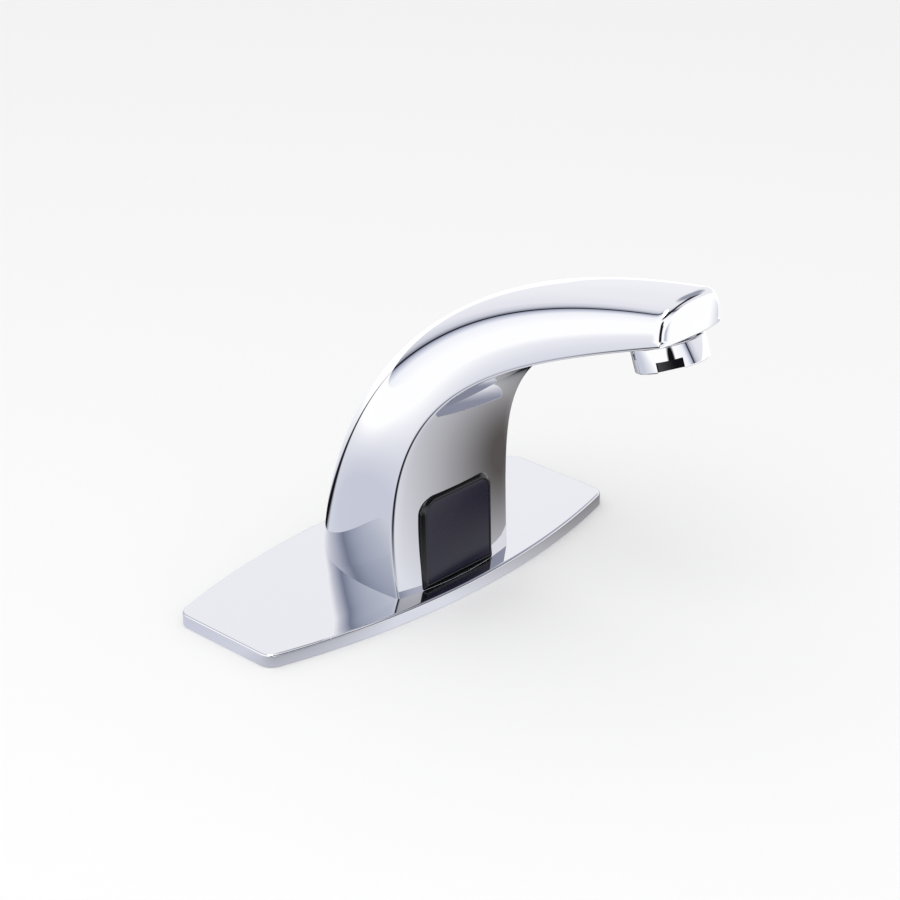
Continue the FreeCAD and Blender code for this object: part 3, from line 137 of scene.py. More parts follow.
# ---------------------------------------------------------------- materials
def chrome_plating():
    """Bright decorative chrome over polished cast brass: a mirror with a faint cool cast, and a
    haze from polishing that comes and goes over about 6 mm."""
    material, tree = new_material("chrome plating, polished")
    skin = add_node(tree, "ShaderNodeBsdfPrincipled", inputs={
        "Base Color": shade("#e6e6e9"), "Metallic": 1.0,
        "Roughness": uneven(tree, size_mm=6.0, low=0.01, high=0.025)})
    return finish_surface(material, tree, skin.outputs["BSDF"])


def dark_acrylic():
    """Infrared-passing acrylic, moulded to a soft gloss: almost black with a violet tint."""
    material, tree = new_material("infrared acrylic, moulded")
    skin = add_node(tree, "ShaderNodeBsdfPrincipled", inputs={
        "Base Color": shade("#17142a"), "IOR": 1.49,
        "Roughness": uneven(tree, size_mm=4.0, low=0.22, high=0.3)})
    return finish_surface(material, tree, skin.outputs["BSDF"])


def black_abs():
    """Black ABS from a polished mould: a deep, even gloss, for the frame round the window."""
    material, tree = new_material("black ABS, moulded gloss")
    skin = add_node(tree, "ShaderNodeBsdfPrincipled", inputs={
        "Base Color": shade("#0b0b0f"), "IOR": 1.54,
        "Roughness": uneven(tree, size_mm=3.0, low=0.16, high=0.22)})
    return finish_surface(material, tree, skin.outputs["BSDF"])


def moulded_rubber():
    """EPDM rubber, moulded: matt black with a fine bloom, 0.02 mm deep."""
    material, tree = new_material("EPDM rubber, moulded")
    bloom = add_node(tree, "ShaderNodeBump", inputs={
        "Height": uneven(tree, size_mm=0.8, low=0.0, high=1.0, detail=4.0),
        "Distance": 0.02 * MM, "Strength": 1.0})
    skin = add_node(tree, "ShaderNodeBsdfPrincipled", inputs={
        "Base Color": shade("#1d1d1e"), "Normal": bloom.outputs["Normal"],
        "Roughness": uneven(tree, size_mm=0.8, low=0.6, high=0.8, detail=4.0)})
    return finish_surface(material, tree, skin.outputs["BSDF"])


def turned_brass():
    """Free-cutting brass, turned: its fine tool rings are drawn 3.8 mm apart, to show."""
    material, tree = new_material("brass, turned")
    place = add_node(tree, "ShaderNodeTexCoord").outputs["Object"]
    # Blender's wave texture turns by 20 radians for each unit of its scaled place
    ring_gap, radians_per_unit = 3.77 * MM, 20
    rings = add_node(tree, "ShaderNodeTexWave", {"wave_type": "RINGS", "rings_direction": "Z"}, {
        "Vector": place, "Scale": math.tau / (radians_per_unit * ring_gap)}).outputs["Fac"]
    sheen = add_node(tree, "ShaderNodeMapRange", inputs={
        "Value": rings, "To Min": 0.25, "To Max": 0.4}).outputs["Result"]
    skin = add_node(tree, "ShaderNodeBsdfPrincipled", inputs={
        "Base Color": shade("#c9a560"), "Metallic": 1.0, "Roughness": sheen})
    return finish_surface(material, tree, skin.outputs["BSDF"])


def stainless_steel():
    """Austenitic stainless steel, drawn and tumbled: an even satin grey."""
    material, tree = new_material("stainless steel, tumbled")
    skin = add_node(tree, "ShaderNodeBsdfPrincipled", inputs={
        "Base Color": shade("#c3c4c4"), "Metallic": 1.0,
        "Roughness": uneven(tree, size_mm=0.5, low=0.25, high=0.38, detail=3.0)})
    return finish_surface(material, tree, skin.outputs["BSDF"])


def moulded_plastic(name, colour):
    """Acetal and the like, moulded: a waxy, slightly glossy plastic of valves and aerators."""
    material, tree = new_material(name)
    skin = add_node(tree, "ShaderNodeBsdfPrincipled", inputs={
        "Base Color": shade(colour), "IOR": 1.48,
        "Roughness": uneven(tree, size_mm=2.0, low=0.35, high=0.5)})
    return finish_surface(material, tree, skin.outputs["BSDF"])


def circuit_laminate():
    """Glass-fibre laminate under green solder resist: the weave, 0.5 mm, shows through."""
    material, tree = new_material("glass-fibre laminate, green resist")
    place = add_node(tree, "ShaderNodeTexCoord").outputs["Object"]
    weave = add_node(tree, "ShaderNodeTexChecker", inputs={
        "Vector": place, "Color1": shade("#0f4a2a"), "Color2": shade("#125331"),
        "Scale": 1 / (0.5 * MM)}).outputs["Color"]
    skin = add_node(tree, "ShaderNodeBsdfPrincipled", inputs={
        "Base Color": weave, "Roughness": 0.3, "IOR": 1.55})
    return finish_surface(material, tree, skin.outputs["BSDF"])


def cast_resin(name, colour):
    """Epoxy cast round a light-emitting or light-sensing chip: smooth and glassy."""
    material, tree = new_material(name)
    skin = add_node(tree, "ShaderNodeBsdfPrincipled", inputs={
        "Base Color": shade(colour), "IOR": 1.55,
        "Roughness": uneven(tree, size_mm=1.0, low=0.05, high=0.1)})
    return finish_surface(material, tree, skin.outputs["BSDF"])


# Each material slot of the record with the function that makes its finish.
FINISHES = {
    "chrome": chrome_plating,
    "dark_window": dark_acrylic,
    "black_gloss": black_abs,
    "rubber": moulded_rubber,
    "brass": turned_brass,
    "steel": stainless_steel,
    "valve_plastic": lambda: moulded_plastic("acetal, natural white", "#e9e7de"),
    "tube_plastic": lambda: moulded_plastic("crosslinked polythene, extruded", "#edeae0"),
    "aerator_plastic": lambda: moulded_plastic("acetal, grey", "#a9adb2"),
    "coil_plastic": lambda: moulded_plastic("glass-filled nylon, black", "#19191b"),
    "case_plastic": lambda: moulded_plastic("ABS, matt black", "#202022"),
    "board": circuit_laminate,
    "clear_resin": lambda: cast_resin("epoxy, water clear", "#d5d8dc"),
    "tinted_resin": lambda: cast_resin("epoxy, violet tint", "#43325c"),
}
made = {}


def finish_for(slot):
    """The material of a slot, made once."""
    if slot not in made:
        made[slot] = FINISHES[slot]()
    return made[slot]


# ---------------------------------------------------------------- meshes
def mesh_object(name, points, faces, slot):
    """An object in the scene from points and faces that point outwards, with a slot's finish."""
    mesh = bpy.data.meshes.new(name)
    mesh.from_pydata([tuple(point) for point in points], [], faces)
    mesh.update()
    mesh.materials.append(finish_for(slot))
    obj = bpy.data.objects.new(name, mesh)
    bpy.context.scene.collection.objects.link(obj)
    return obj


def plain_mesh(obj, sharp_degrees):
    """Turn the object's live modifiers into its own mesh, smooth up to an angle."""
    graph = bpy.context.evaluated_depsgraph_get()
    mesh = bpy.data.meshes.new_from_object(obj.evaluated_get(graph))
    obj.modifiers.clear()
    obj.data = mesh
    mesh.shade_smooth()
    mesh.set_sharp_from_angle(angle=math.radians(sharp_degrees))
    mesh.update()
    return obj


def ring_faces(rings, count, joined=False):
    """Quads between closed rings of equal count. The last ring is joined to the first one, or each
    end gets a face."""
    faces = []
    for ring in range(rings if joined else rings - 1):
        here, there = ring * count, (ring + 1) % rings * count
        for i in range(count):
            j = (i + 1) % count
            faces.append((here + i, here + j, there + j, there + i))
    if not joined:
        faces.append(tuple(range(count - 1, -1, -1)))
        faces.append(tuple((rings - 1) * count + i for i in range(count)))
    return faces


def arc(x, y, radius, first, last, steps):
    """Points of an arc from one angle to another, in degrees, with both its ends."""
    angles = [math.radians(first + (last - first) * i / steps) for i in range(steps + 1)]
    return [(x + radius * math.cos(a), y + radius * math.sin(a)) for a in angles]


def turned(name, place, profile, slot, sides, joined=False):
    """A piece turned round a place's Z axis, from radii and heights in millimetres."""
    turns = [math.tau * i / sides for i in range(sides)]
    points = [place @ Vector((r * MM * math.cos(turn), r * MM * math.sin(turn), z * MM))
              for r, z in profile for turn in turns]
    return mesh_object(name, points, ring_faces(len(profile), sides, joined), slot)


def cut_with(obj, cutters, sharp_degrees):
    """Take closed cutters away from an object, make it a plain mesh and remove the cutters."""
    for cutter in cutters:
        change = obj.modifiers.new("cut", "BOOLEAN")
        change.operation = "DIFFERENCE"
        change.solver = "EXACT"
        change.object = cutter
    plain_mesh(obj, sharp_degrees)
    for cutter in cutters:
        bpy.data.objects.remove(cutter, do_unlink=True)


def soften(obj, width_mm):
    """A small rounding on every edge that turns by more than 25 degrees."""
    change = obj.modifiers.new("soften", "BEVEL")
    change.width = width_mm * MM
    change.segments = 3
    change.limit_method = "ANGLE"
    change.angle_limit = math.radians(25)


def show(obj, body, slot, *nodes):
    """Hand a finished piece over: its body and the CAD nodes it stands for. The slot is not used.
    """
    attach(obj, body)
    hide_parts(*nodes)


# ---------------------------------------------------------------- form of the spout
def on_curve(points, t):
    """Points of a Bezier curve at an array of stations, by repeated division."""
    points = [np.asarray(p, float) for p in points]
    t = np.asarray(t, float)[..., None]
    while len(points) > 1:
        points = [a + (b - a) * t for a, b in zip(points, points[1:])]
    return points[0]


def section_points():
    """The stretch, the place on it from 0 to 1, and the side of every point of a section."""
    half = [(kind, i / steps) for kind, steps in SECTION_STEPS.items() for i in range(steps)]
    half.append((CROWN, 1.0))
    ring = [(kind, place, 1) for kind, place in half]
    ring += [(kind, place, -1) for kind, place in half[-2:0:-1]]
    return (np.array(column) for column in zip(*ring))


def spout_surface(t, corner_radius):
    """Points of the spout in millimetres, for stations t shaped (rows, section points)."""
    kind, place, side = section_points()
    front, back = on_curve(FRONT_CURVE_MM, t), on_curve(BACK_CURVE_MM, t)
    width = on_curve([(w,) for w in HALF_WIDTHS_MM], t)[..., 0]
    depth = np.linalg.norm(back - front, axis=-1)
    first, last = (1 - inset / HALF_WIDTHS_MM[end] for inset, end in zip(CORNER_INSET_MM, (0, -1)))
    share = first + (last - first) * t
    power = CROWN_POWER[0] + (CROWN_POWER[1] - CROWN_POWER[0]) * t
    bulge = BULGE_SHARE * depth
    reach = bulge / np.sqrt(1 - share ** 2)
    bow = FRONT_BOW_MM * (1 - t)
    corner_x = width * share

    def side_x(rise):
        return width * np.sqrt(1 - ((bulge - rise) / reach) ** 2)

    def slope(rise):
        return width ** 2 * (bulge - rise) / (reach ** 2 * side_x(rise))

    # the corner's circle touches the side, and the line that the bowed front ends on
    front_angle = np.arctan(2 * bow / corner_x)
    touch = np.full_like(t, corner_radius)
    for _ in range(CORNER_ROUNDS):
        lean = slope(touch)
        centre_x = side_x(touch) - corner_radius / np.sqrt(1 + lean ** 2)
        centre_rise = touch + corner_radius * lean / np.sqrt(1 + lean ** 2)
        off_line = centre_rise * np.cos(front_angle) - (centre_x - corner_x) * np.sin(front_angle)
        touch = touch + (corner_radius - off_line) * CORNER_MEND
    start_angle = front_angle - math.pi / 2
    turn = start_angle + place * (np.arctan2(-lean, 1) - start_angle)
    front_x = centre_x + corner_radius * np.cos(start_angle)
    front_gap = (centre_rise + corner_radius * np.sin(start_angle)
                 + bow * (1 - (front_x / corner_x) ** 2))
    side_rise = touch + (bulge - touch) * place
    crown = place * math.pi / 2
    stretches = [kind == FRONT, kind == CORNER, kind == SIDE]
    x = np.select(stretches, [
        front_x * place, centre_x + corner_radius * np.cos(turn), side_x(side_rise)],
        width * np.clip(np.cos(crown), 0, 1) ** (2 / power))
    rise = np.select(stretches, [
        front_gap * place ** 2 - bow * (1 - (front_x * place / corner_x) ** 2),
        centre_rise + corner_radius * np.sin(turn), side_rise],
        bulge + (depth - bulge) * np.sin(crown) ** (2 / power))
    across = (back - front) / depth[..., None]
    return np.stack([side * x, front[..., 0] + across[..., 0] * rise,
                     front[..., 1] + across[..., 1] * rise], axis=-1)


def outward(t, corner_radius):
    """Unit normals of the spout's surface at the same points."""
    step = 1e-4
    along = spout_surface(t + step, corner_radius) - spout_surface(t - step, corner_radius)
    points = spout_surface(t, corner_radius)
    around = np.roll(points, -1, axis=1) - np.roll(points, 1, axis=1)
    normal = np.cross(around, along)
    return normal / np.linalg.norm(normal, axis=-1, keepdims=True)


def nose_radius(settings):
    """The rounding between the spout and its nose at every point of a section, in millimetres."""
    kind, place, _ = section_points()
    low, high = settings.nose_lower_rounding / MM, settings.nose_upper_rounding / MM
    middle = settings.nose_side_rounding / MM
    ease = place * place * (3 - 2 * place)
    return np.select([kind <= CORNER, kind == SIDE], [
        np.full_like(ease, low), low + (middle - low) * ease], middle + (high - middle) * ease)


def line_ends(settings, rounding, hub_y):
    """The station at which each line of the skin meets the nose's rounding, in millimetres."""
    corner = settings.corner_rounding / MM
    trials = np.linspace(*NOSE_SEARCH)
    stations = np.repeat(trials[:, None], len(rounding), axis=1)
    centre = spout_surface(stations, corner) - rounding[:, None] * outward(stations, corner)
    inside = settings.nose_bow / MM - np.hypot(centre[..., 0], centre[..., 1] - hub_y) - rounding
    past = np.argmax(inside < 0, axis=0)
    columns = np.arange(len(rounding))
    before, after = inside[past - 1, columns], inside[past, columns]
    return trials[past - 1] + (trials[1] - trials[0]) * before / (before - after)


def spout_rings(settings):
    """The rings of the whole spout, from its foot to the middle of its nose, in millimetres."""
    corner, bow = settings.corner_rounding / MM, settings.nose_bow / MM
    hub_y = settings.nose_tip / MM + bow
    rounding = nose_radius(settings)
    end = line_ends(settings, rounding, hub_y)
    stations = np.linspace(0, 1, settings.spout_rings)[:, None] * end
    rings = list(spout_surface(stations, corner))
    # the rounded edge: each line turns from the skin's normal to the end face's
    normal = outward(end[None, :], corner)[0]
    centre = rings[-1] - rounding[:, None] * normal
    ahead = np.stack([centre[:, 0], centre[:, 1] - hub_y, np.zeros(len(rounding))], axis=-1)
    ahead /= np.linalg.norm(ahead, axis=-1, keepdims=True)
    angle = np.arccos(np.clip((normal * ahead).sum(-1), -1, 1))[:, None]
    for step in np.linspace(0, 1, NOSE_EDGE_RINGS + 1)[1:]:
        swung = np.sin((1 - step) * angle) * normal + np.sin(step * angle) * ahead
        rings.append(centre + rounding[:, None] * swung / np.sin(angle))
    # the bowed end face, inwards to its middle
    rim = rings[-1]
    middle = np.array([0.0, (rim[:, 2].max() + rim[:, 2].min()) / 2])
    for step in np.linspace(0, 1, NOSE_FACE_RINGS + 2)[1:-1]:
        flat = rim[:, [0, 2]] * (1 - step) + middle * step
        y = hub_y - np.sqrt(bow ** 2 - flat[:, 0] ** 2)
        rings.append(np.stack([flat[:, 0], y, flat[:, 1]], axis=-1))
    return rings


# ---------------------------------------------------------------- cover plate
def boat_outline(settings):
    """The plate's outline in millimetres, with the outward normal at each point."""
    half = settings.plate_length / MM / 2
    end = settings.plate_end_width / MM / 2
    middle = settings.plate_middle_width / MM / 2
    corner = settings.plate_corner / MM
    bow = middle - end
    radius = (half ** 2 + bow ** 2) / (2 * bow)
    hub = middle - radius
    # the corner's circle touches the straight end and the bowed side from inside
    corner_x = half - corner
    corner_y = hub + math.sqrt((radius - corner) ** 2 - corner_x ** 2)
    last = math.degrees(math.atan2(corner_y - hub, corner_x))
    end_steps, corner_steps, side_steps = 6, 12, 40
    quarter = [((half, corner_y * i / end_steps), (1.0, 0.0)) for i in range(end_steps + 1)]
    for x, y, size, first, stop, steps in ((corner_x, corner_y, corner, 0, last, corner_steps),
                                           (0.0, hub, radius, last, 90, side_steps)):
        normals = arc(0.0, 0.0, 1.0, first, stop, steps)
        quarter += list(zip(arc(x, y, size, first, stop, steps), normals))[1:]
    half_ring = quarter + [((-p[0], p[1]), (-n[0], n[1])) for p, n in quarter[-2::-1]]
    return half_ring + [((p[0], -p[1]), (n[0], -n[1])) for p, n in half_ring[-2:0:-1]]


def make_cover_plate(settings):
    """The chromed tray that the spout stands on."""
    top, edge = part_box("deck_plate")[1].z / MM, settings.plate_edge / MM
    # insets from the outline and heights, in millimetres, from inside the rim to the upper edge
    rim, skin, foot_edge = 2.5, 1.6, 0.3
    profile = [(rim, top - skin), (rim, 0.0)]
    profile += arc(foot_edge, foot_edge, foot_edge, 270, 180, steps=4)
    profile += arc(edge, top - edge, edge, 180, 90, steps=8)
    outline = boat_outline(settings)
    points = [((p[0] - n[0] * inset) * MM, (p[1] - n[1] * inset) * MM, z * MM)
              for inset, z in profile for p, n in outline]
    plate = mesh_object("cover_plate", points, ring_faces(len(profile), len(outline)), "chrome")
    return plain_mesh(plate, sharp_degrees=30)


# ---------------------------------------------------------------- sensor window
def arched_outline(inset, settings):
    """The window's outline at an inset, in millimetres: X and Z, rounded at its corners."""
    low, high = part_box("sensor_bezel")
    half = (high.x - low.x) / 2 / MM - inset
    bottom, top = low.z / MM + inset, high.z / MM - inset
    least_upper, least_lower = 0.6, 0.3
    upper = max(settings.window_corner / MM - inset, least_upper)
    lower = max(settings.window_foot_corner / MM - inset / 3, least_lower)
    corners = ((half - lower, bottom + lower, lower, -90), (half - upper, top - upper, upper, 0),
               (upper - half, top - upper, upper, 90), (lower - half, bottom + lower, lower, 180))
    return [point for x, z, radius, first in corners
            for point in arc(x, z, radius, first, first + 90, steps=16)]


def arched_rings(name, profile, slot, settings):
    """A closed piece from the window's outline: each profile point is an inset and a Y, in mm."""
    rings = [[(x * MM, y * MM, z * MM) for x, z in arched_outline(inset, settings)]
             for inset, y in profile]
    return mesh_object(name, sum(rings, []), ring_faces(len(rings), len(rings[0])), slot)


def window_seat(settings):
    """A cutter for the opening in the spout's front, as deep as the frame and a little wider, in
    millimetres."""
    low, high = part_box("sensor_bezel")
    clearance, ahead = 0.15, 4.0
    return arched_rings("window_cutter", [
        (-clearance, high.y / MM), (-clearance, low.y / MM - ahead)], "chrome", settings)


def lean_back(obj, low, high, lean_mm):
    """Lean the front of a piece back towards its top, as the column's front does."""
    for vertex in obj.data.vertices:
        rise = (vertex.co.z - low.z) / (high.z - low.z)
        ahead = (high.y - vertex.co.y) / (high.y - low.y)
        vertex.co.y += lean_mm * MM * rise * ahead


# ---------------------------------------------------------------- aerator
def aerator_frame():
    """Where the aerator stands: its axis points up into the nose, from the underside."""
    step = 1e-3
    stations = np.linspace(*SEAT_SEARCH)
    station = np.interp(-AERATOR_Y_MM, -on_curve(FRONT_CURVE_MM, stations)[:, 0], stations)
    seat, ahead, behind = (on_curve(FRONT_CURVE_MM, np.array(place))
                           for place in (station, station + step, station - step))
    lean = math.atan2(ahead[1] - behind[1], behind[0] - ahead[0])
    return Matrix.Translation((0, seat[0] * MM, seat[1] * MM)) @ Matrix.Rotation(-lean, 4, "X")


def aerator_socket():
    """A cutter, in millimetres, for the round opening under the nose that takes the aerator."""
    radius, below, deep = 9.0, -6.0, 6.4
    return turned("socket_cutter", aerator_frame(), ((radius, below), (radius, deep)), "chrome",
                  sides=128)


def notch_cutter(place, turn, foot):
    """A block that cuts a key notch into the ring's lower edge, in millimetres from its axis."""
    spin = place @ Matrix.Rotation(math.radians(turn), 4, "Z")
    half, inner, outer, below, height = 4.0, 8.2, 13.0, 1.0, 3.3
    corners = [spin @ Vector((x * MM, -y * MM, z * MM)) for z in (foot - below, foot + height)
               for x, y in ((-half, outer), (half, outer), (half, inner), (-half, inner))]
    return mesh_object("notch_cutter", corners, ring_faces(2, 4), "chrome")


def perforated_disc_tree():
    """A node tree: a disc with rings of six-sided holes, moved to its place and painted."""
    disc_sides, hole_sides, rings = 96, 6, 3
    tree = bpy.data.node_groups.new("perforated disc", "GeometryNodeTree")
    interface = tree.interface
    interface.new_socket("Geometry", in_out="OUTPUT", socket_type="NodeSocketGeometry")
    for name, kind in (("Radius", "Float"), ("Thickness", "Float"), ("Hole Radius", "Float"),
                       ("Ring Step", "Float"), ("Middle Height", "Float"), ("Place", "Vector"),
                       ("Turn", "Vector"), ("Material", "Material")):
        interface.new_socket(name, in_out="INPUT", socket_type="NodeSocket" + kind)
    sizes = add_node(tree, "NodeGroupInput").outputs
    disc = add_node(tree, "GeometryNodeMeshCylinder", inputs={
        "Vertices": disc_sides, "Radius": sizes["Radius"],
        "Depth": sizes["Thickness"]}).outputs["Mesh"]
    # the holes' cutters stand out of the disc on both sides
    deep = add_node(tree, "ShaderNodeMath", {"operation": "MULTIPLY"}, {
        0: sizes["Thickness"], 1: 1.5}).outputs["Value"]
    hole = add_node(tree, "GeometryNodeMeshCylinder", inputs={
        "Vertices": hole_sides, "Radius": sizes["Hole Radius"], "Depth": deep}).outputs["Mesh"]
    places = add_node(tree, "GeometryNodeJoinGeometry")
    middle = add_node(tree, "GeometryNodeMeshLine", {"mode": "OFFSET"}, {"Count": 1})
    tree.links.new(middle.outputs["Mesh"], places.inputs["Geometry"])
    for ring in range(1, rings + 1):
        reach = add_node(tree, "ShaderNodeMath", {"operation": "MULTIPLY"}, {
            0: sizes["Ring Step"], 1: float(ring)}).outputs["Value"]
        circle = add_node(tree, "GeometryNodeMeshCircle", inputs={
            "Vertices": 6 * ring, "Radius": reach})
        tree.links.new(circle.outputs["Mesh"], places.inputs["Geometry"])
    holes = add_node(tree, "GeometryNodeInstanceOnPoints", inputs={
        "Points": places.outputs["Geometry"], "Instance": hole}).outputs["Instances"]
    solid_holes = add_node(tree, "GeometryNodeRealizeInstances", inputs={"Geometry": holes})
    cut = add_node(tree, "GeometryNodeMeshBoolean", {"operation": "DIFFERENCE"}, {"Mesh 1": disc})
    tree.links.new(solid_holes.outputs["Geometry"], cut.inputs["Mesh 2"])
    lift = add_node(tree, "ShaderNodeCombineXYZ", inputs={"Z": sizes["Middle Height"]})
    raised = add_node(tree, "GeometryNodeTransform", inputs={
        "Geometry": cut.outputs["Mesh"], "Translation": lift.outputs["Vector"]})
    placed = add_node(tree, "GeometryNodeTransform", inputs={
        "Geometry": raised.outputs["Geometry"], "Translation": sizes["Place"],
        "Rotation": sizes["Turn"]})
    whole = add_node(tree, "GeometryNodeRealizeInstances", inputs={
        "Geometry": placed.outputs["Geometry"]})
    painted = add_node(tree, "GeometryNodeSetMaterial", inputs={
        "Geometry": whole.outputs["Geometry"], "Material": sizes["Material"]})
    add_node(tree, "NodeGroupOutput", inputs={"Geometry": painted.outputs["Geometry"]})
    return tree


def from_nodes(name, tree, values):
    """A plain-mesh object made by a node tree with named inputs."""
    obj = bpy.data.objects.new(name, bpy.data.meshes.new(name))
    bpy.context.scene.collection.objects.link(obj)
    modifier = obj.modifiers.new("shape", "NODES")
    modifier.node_group = tree
    identifiers = {item.name: item.identifier for item in tree.interface.items_tree
                   if item.in_out == "INPUT"}
    for key, value in values.items():
        modifier[identifiers[key]] = value
    return plain_mesh(obj, sharp_degrees=35)


# ---------------------------------------------------------------- studio
# Painted reflections on the floor, which only metal sees: a painted grey shadow of the tap behind
# it, then painted dark and grey patches that give chrome its lines. For each: its middle, the radii
# where it is whole and where it has faded out, and its colour.
PAINTED_FLOOR_PATCHES = (
    # a painted grey shadow of the tap, seen only in metal
    ((-0.080, 0.070), 0.05, 0.30, "#c6c9d5"),
    # painted dark and grey patches, seen only in metal
    ((0.100, -0.065), 0.025, 0.115, "#55514f"),
    ((0.270, -0.130), 0.02, 0.10, "#bfc2cf"),
    ((0.030, -0.430), 0.05, 0.12, "#bfc2cf"),
    ((0.145, 0.055), 0.035, 0.090, "#1c1c22"),
    ((-0.100, -0.100), 0.045, 0.095, "#1c1c22"),
)
UP, BACKWARDS = (0.0, 0.0, 1.0), (0.0, 1.0, 0.0)

# Each fade below gives the value where it starts and the one where it is whole: a distance on the
# floor, or how far a direction points along an axis.
# A painted reflection, seen only in metal: a dark wedge widens on the floor from under the nose
# towards the camera.
PAINTED_WEDGE_COLOUR = "#1a1a20"
WEDGE_START, WEDGE_HEADING = (-0.012, -0.113, 0.0), (-0.690, -0.724, 0.0)
WEDGE_SIDE_FADE, WEDGE_END_FADE = (0.965, 0.985), (0.08, 0.14)

# A painted reflection, seen only in metal: a dark strip on the floor behind the tap, given by its
# line's normal and offset, and the distances from the line at which it has faded out and is whole.
# It goes on as the dark gap in the world's sloping painted ramp, so that both make one line in the
# metal: the ramp's normal and offset, and how far its colours reach.
PAINTED_STRIP_COLOUR = "#101014"
STRIP_NORMAL, STRIP_OFFSET = (0.997, -0.080, 0.0), -0.003
STRIP_OUTER, STRIP_INNER = 0.014, 0.006
STRIP_END_FADE = (0.0, 0.03)
RAMP_NORMAL, RAMP_OFFSET, RAMP_REACH = (0.690, 0.104, 0.715), 0.14, 0.5

# The painted ramp's colours, a painted reflection that only metal sees, from below to above, with
# the dark gap at its middle, and the same colours blurred, as metal shows them when it is itself
# seen in metal.
PAINTED_RAMP_SHARP = (
    (0.0, "#ffffff"), (0.30, "#f2f3f7"), (0.42, "#bfc3d0"), (0.475, "#8f95a8"), (0.49, "#0c0c10"),
    (0.515, "#0c0c10"), (0.54, "#8a8c99"), (0.62, "#c9cbd4"), (0.76, "#e2e3e8"), (1.0, "#eaeaee"))
PAINTED_RAMP_BLURRED = (
    (0.0, "#e9ebf0"), (0.2, "#c3c8d4"), (0.4, "#a4abbb"), (0.55, "#7f8699"), (0.7, "#b4b8c5"),
    (1.0, "#ececf0"))
SECOND_MIRROR_FADE = (1.2, 1.8)

# Painted reflections, seen only in metal: a grey patch overhead, a dark zone in front above the
# floor, and a dark spot towards the camera.
PAINTED_GREY_COLOUR, PAINTED_DARK_COLOUR = "#9498a6", "#121217"
GREY_PATCH_DIRECTION, GREY_PATCH_FADE = (0.635, -0.100, 0.766), (0.86, 0.96)
DARK_ZONE_NEAR_FADE, DARK_ZONE_LOW_FADE, DARK_ZONE_HIGH_FADE = (-0.32, -0.5), (0.33, 0.42), (0.72, 0.6)
DARK_SPOT_DIRECTION, DARK_SPOT_FADE = (-0.735, -0.675, 0.05), (0.975, 0.99)

# The floor lies a hair below the deck plane, so that the two don't fight.
FLOOR_HALF, FLOOR_DROP = 3.0, 0.0002

# The soft box: where it hangs, the point it faces, its width and its power.
LAMP_PLACE, LAMP_AIM, LAMP_SIZE, LAMP_WATTS = (-0.9, -0.5, 1.3), (0.0, 0.0, 0.05), 0.9, 6.0

# The photograph's viewing angle, in degrees, solved from the cover plate and the spout, with the
# camera's place and lens.
CAMERA_AZIMUTH, CAMERA_ELEVATION, CAMERA_ROLL = 47.231, 25.692, 0.552
CAMERA_PLACE = (-0.56417, -0.54380, 0.41770)
CAMERA_LENS_MM, CAMERA_SENSOR_MM = 106.54, 36.0


def fade_along(tree, vector, direction, start, whole):
    """A share from 0 to 1, by how far a vector reaches along a direction."""
    reach = add_node(tree, "ShaderNodeVectorMath", {"operation": "DOT_PRODUCT"}, {
        0: vector, 1: direction}).outputs["Value"]
    return add_node(tree, "ShaderNodeMapRange", inputs={
        "Value": reach, "From Min": start, "From Max": whole}).outputs["Result"]


def laid_over(tree, base, colour, *shares):
    """A colour with another laid over it, where all of its shares from 0 to 1 are high."""
    share = shares[0]
    for other in shares[1:]:
        share = add_node(tree, "ShaderNodeMath", {"operation": "MULTIPLY"}, {
            0: share, 1: other}).outputs["Value"]
    return add_node(tree, "ShaderNodeMix", {"data_type": "RGBA"}, {
        "Factor": share, MIX_BASE: base, MIX_OVER: shade(colour)}).outputs[MIX_RESULT]


def painted_floor_reflections(tree):
    """Painted reflections on the floor, seen only by metal: white, with the patches, wedge and
    strip.
    """
    place = add_node(tree, "ShaderNodeTexCoord").outputs["Object"]
    table = shade("#ffffff")
    for centre, inner, outer, colour in PAINTED_FLOOR_PATCHES:
        reach = add_node(tree, "ShaderNodeVectorMath", {"operation": "DISTANCE"}, {
            0: place, 1: (*centre, 0.0)}).outputs["Value"]
        near = add_node(tree, "ShaderNodeMapRange", inputs={
            "Value": reach, "From Min": outer, "From Max": inner}).outputs["Result"]
        table = laid_over(tree, table, colour, near)
    away = add_node(tree, "ShaderNodeVectorMath", {"operation": "SUBTRACT"}, {
        0: place, 1: WEDGE_START}).outputs["Vector"]
    heading = add_node(tree, "ShaderNodeVectorMath", {"operation": "NORMALIZE"}, {
        0: away}).outputs["Vector"]
    # the painted dark wedge, a reflection only metal sees
    table = laid_over(tree, table, PAINTED_WEDGE_COLOUR,
                      fade_along(tree, heading, WEDGE_HEADING, *WEDGE_SIDE_FADE),
                      fade_along(tree, away, WEDGE_HEADING, *WEDGE_END_FADE))
    # the painted dark strip, a reflection only metal sees
    sides = [fade_along(tree, place, STRIP_NORMAL, STRIP_OFFSET + side * STRIP_OUTER,
                        STRIP_OFFSET + side * STRIP_INNER) for side in (-1, 1)]
    return laid_over(tree, table, PAINTED_STRIP_COLOUR, *sides,
                     fade_along(tree, place, BACKWARDS, *STRIP_END_FADE))


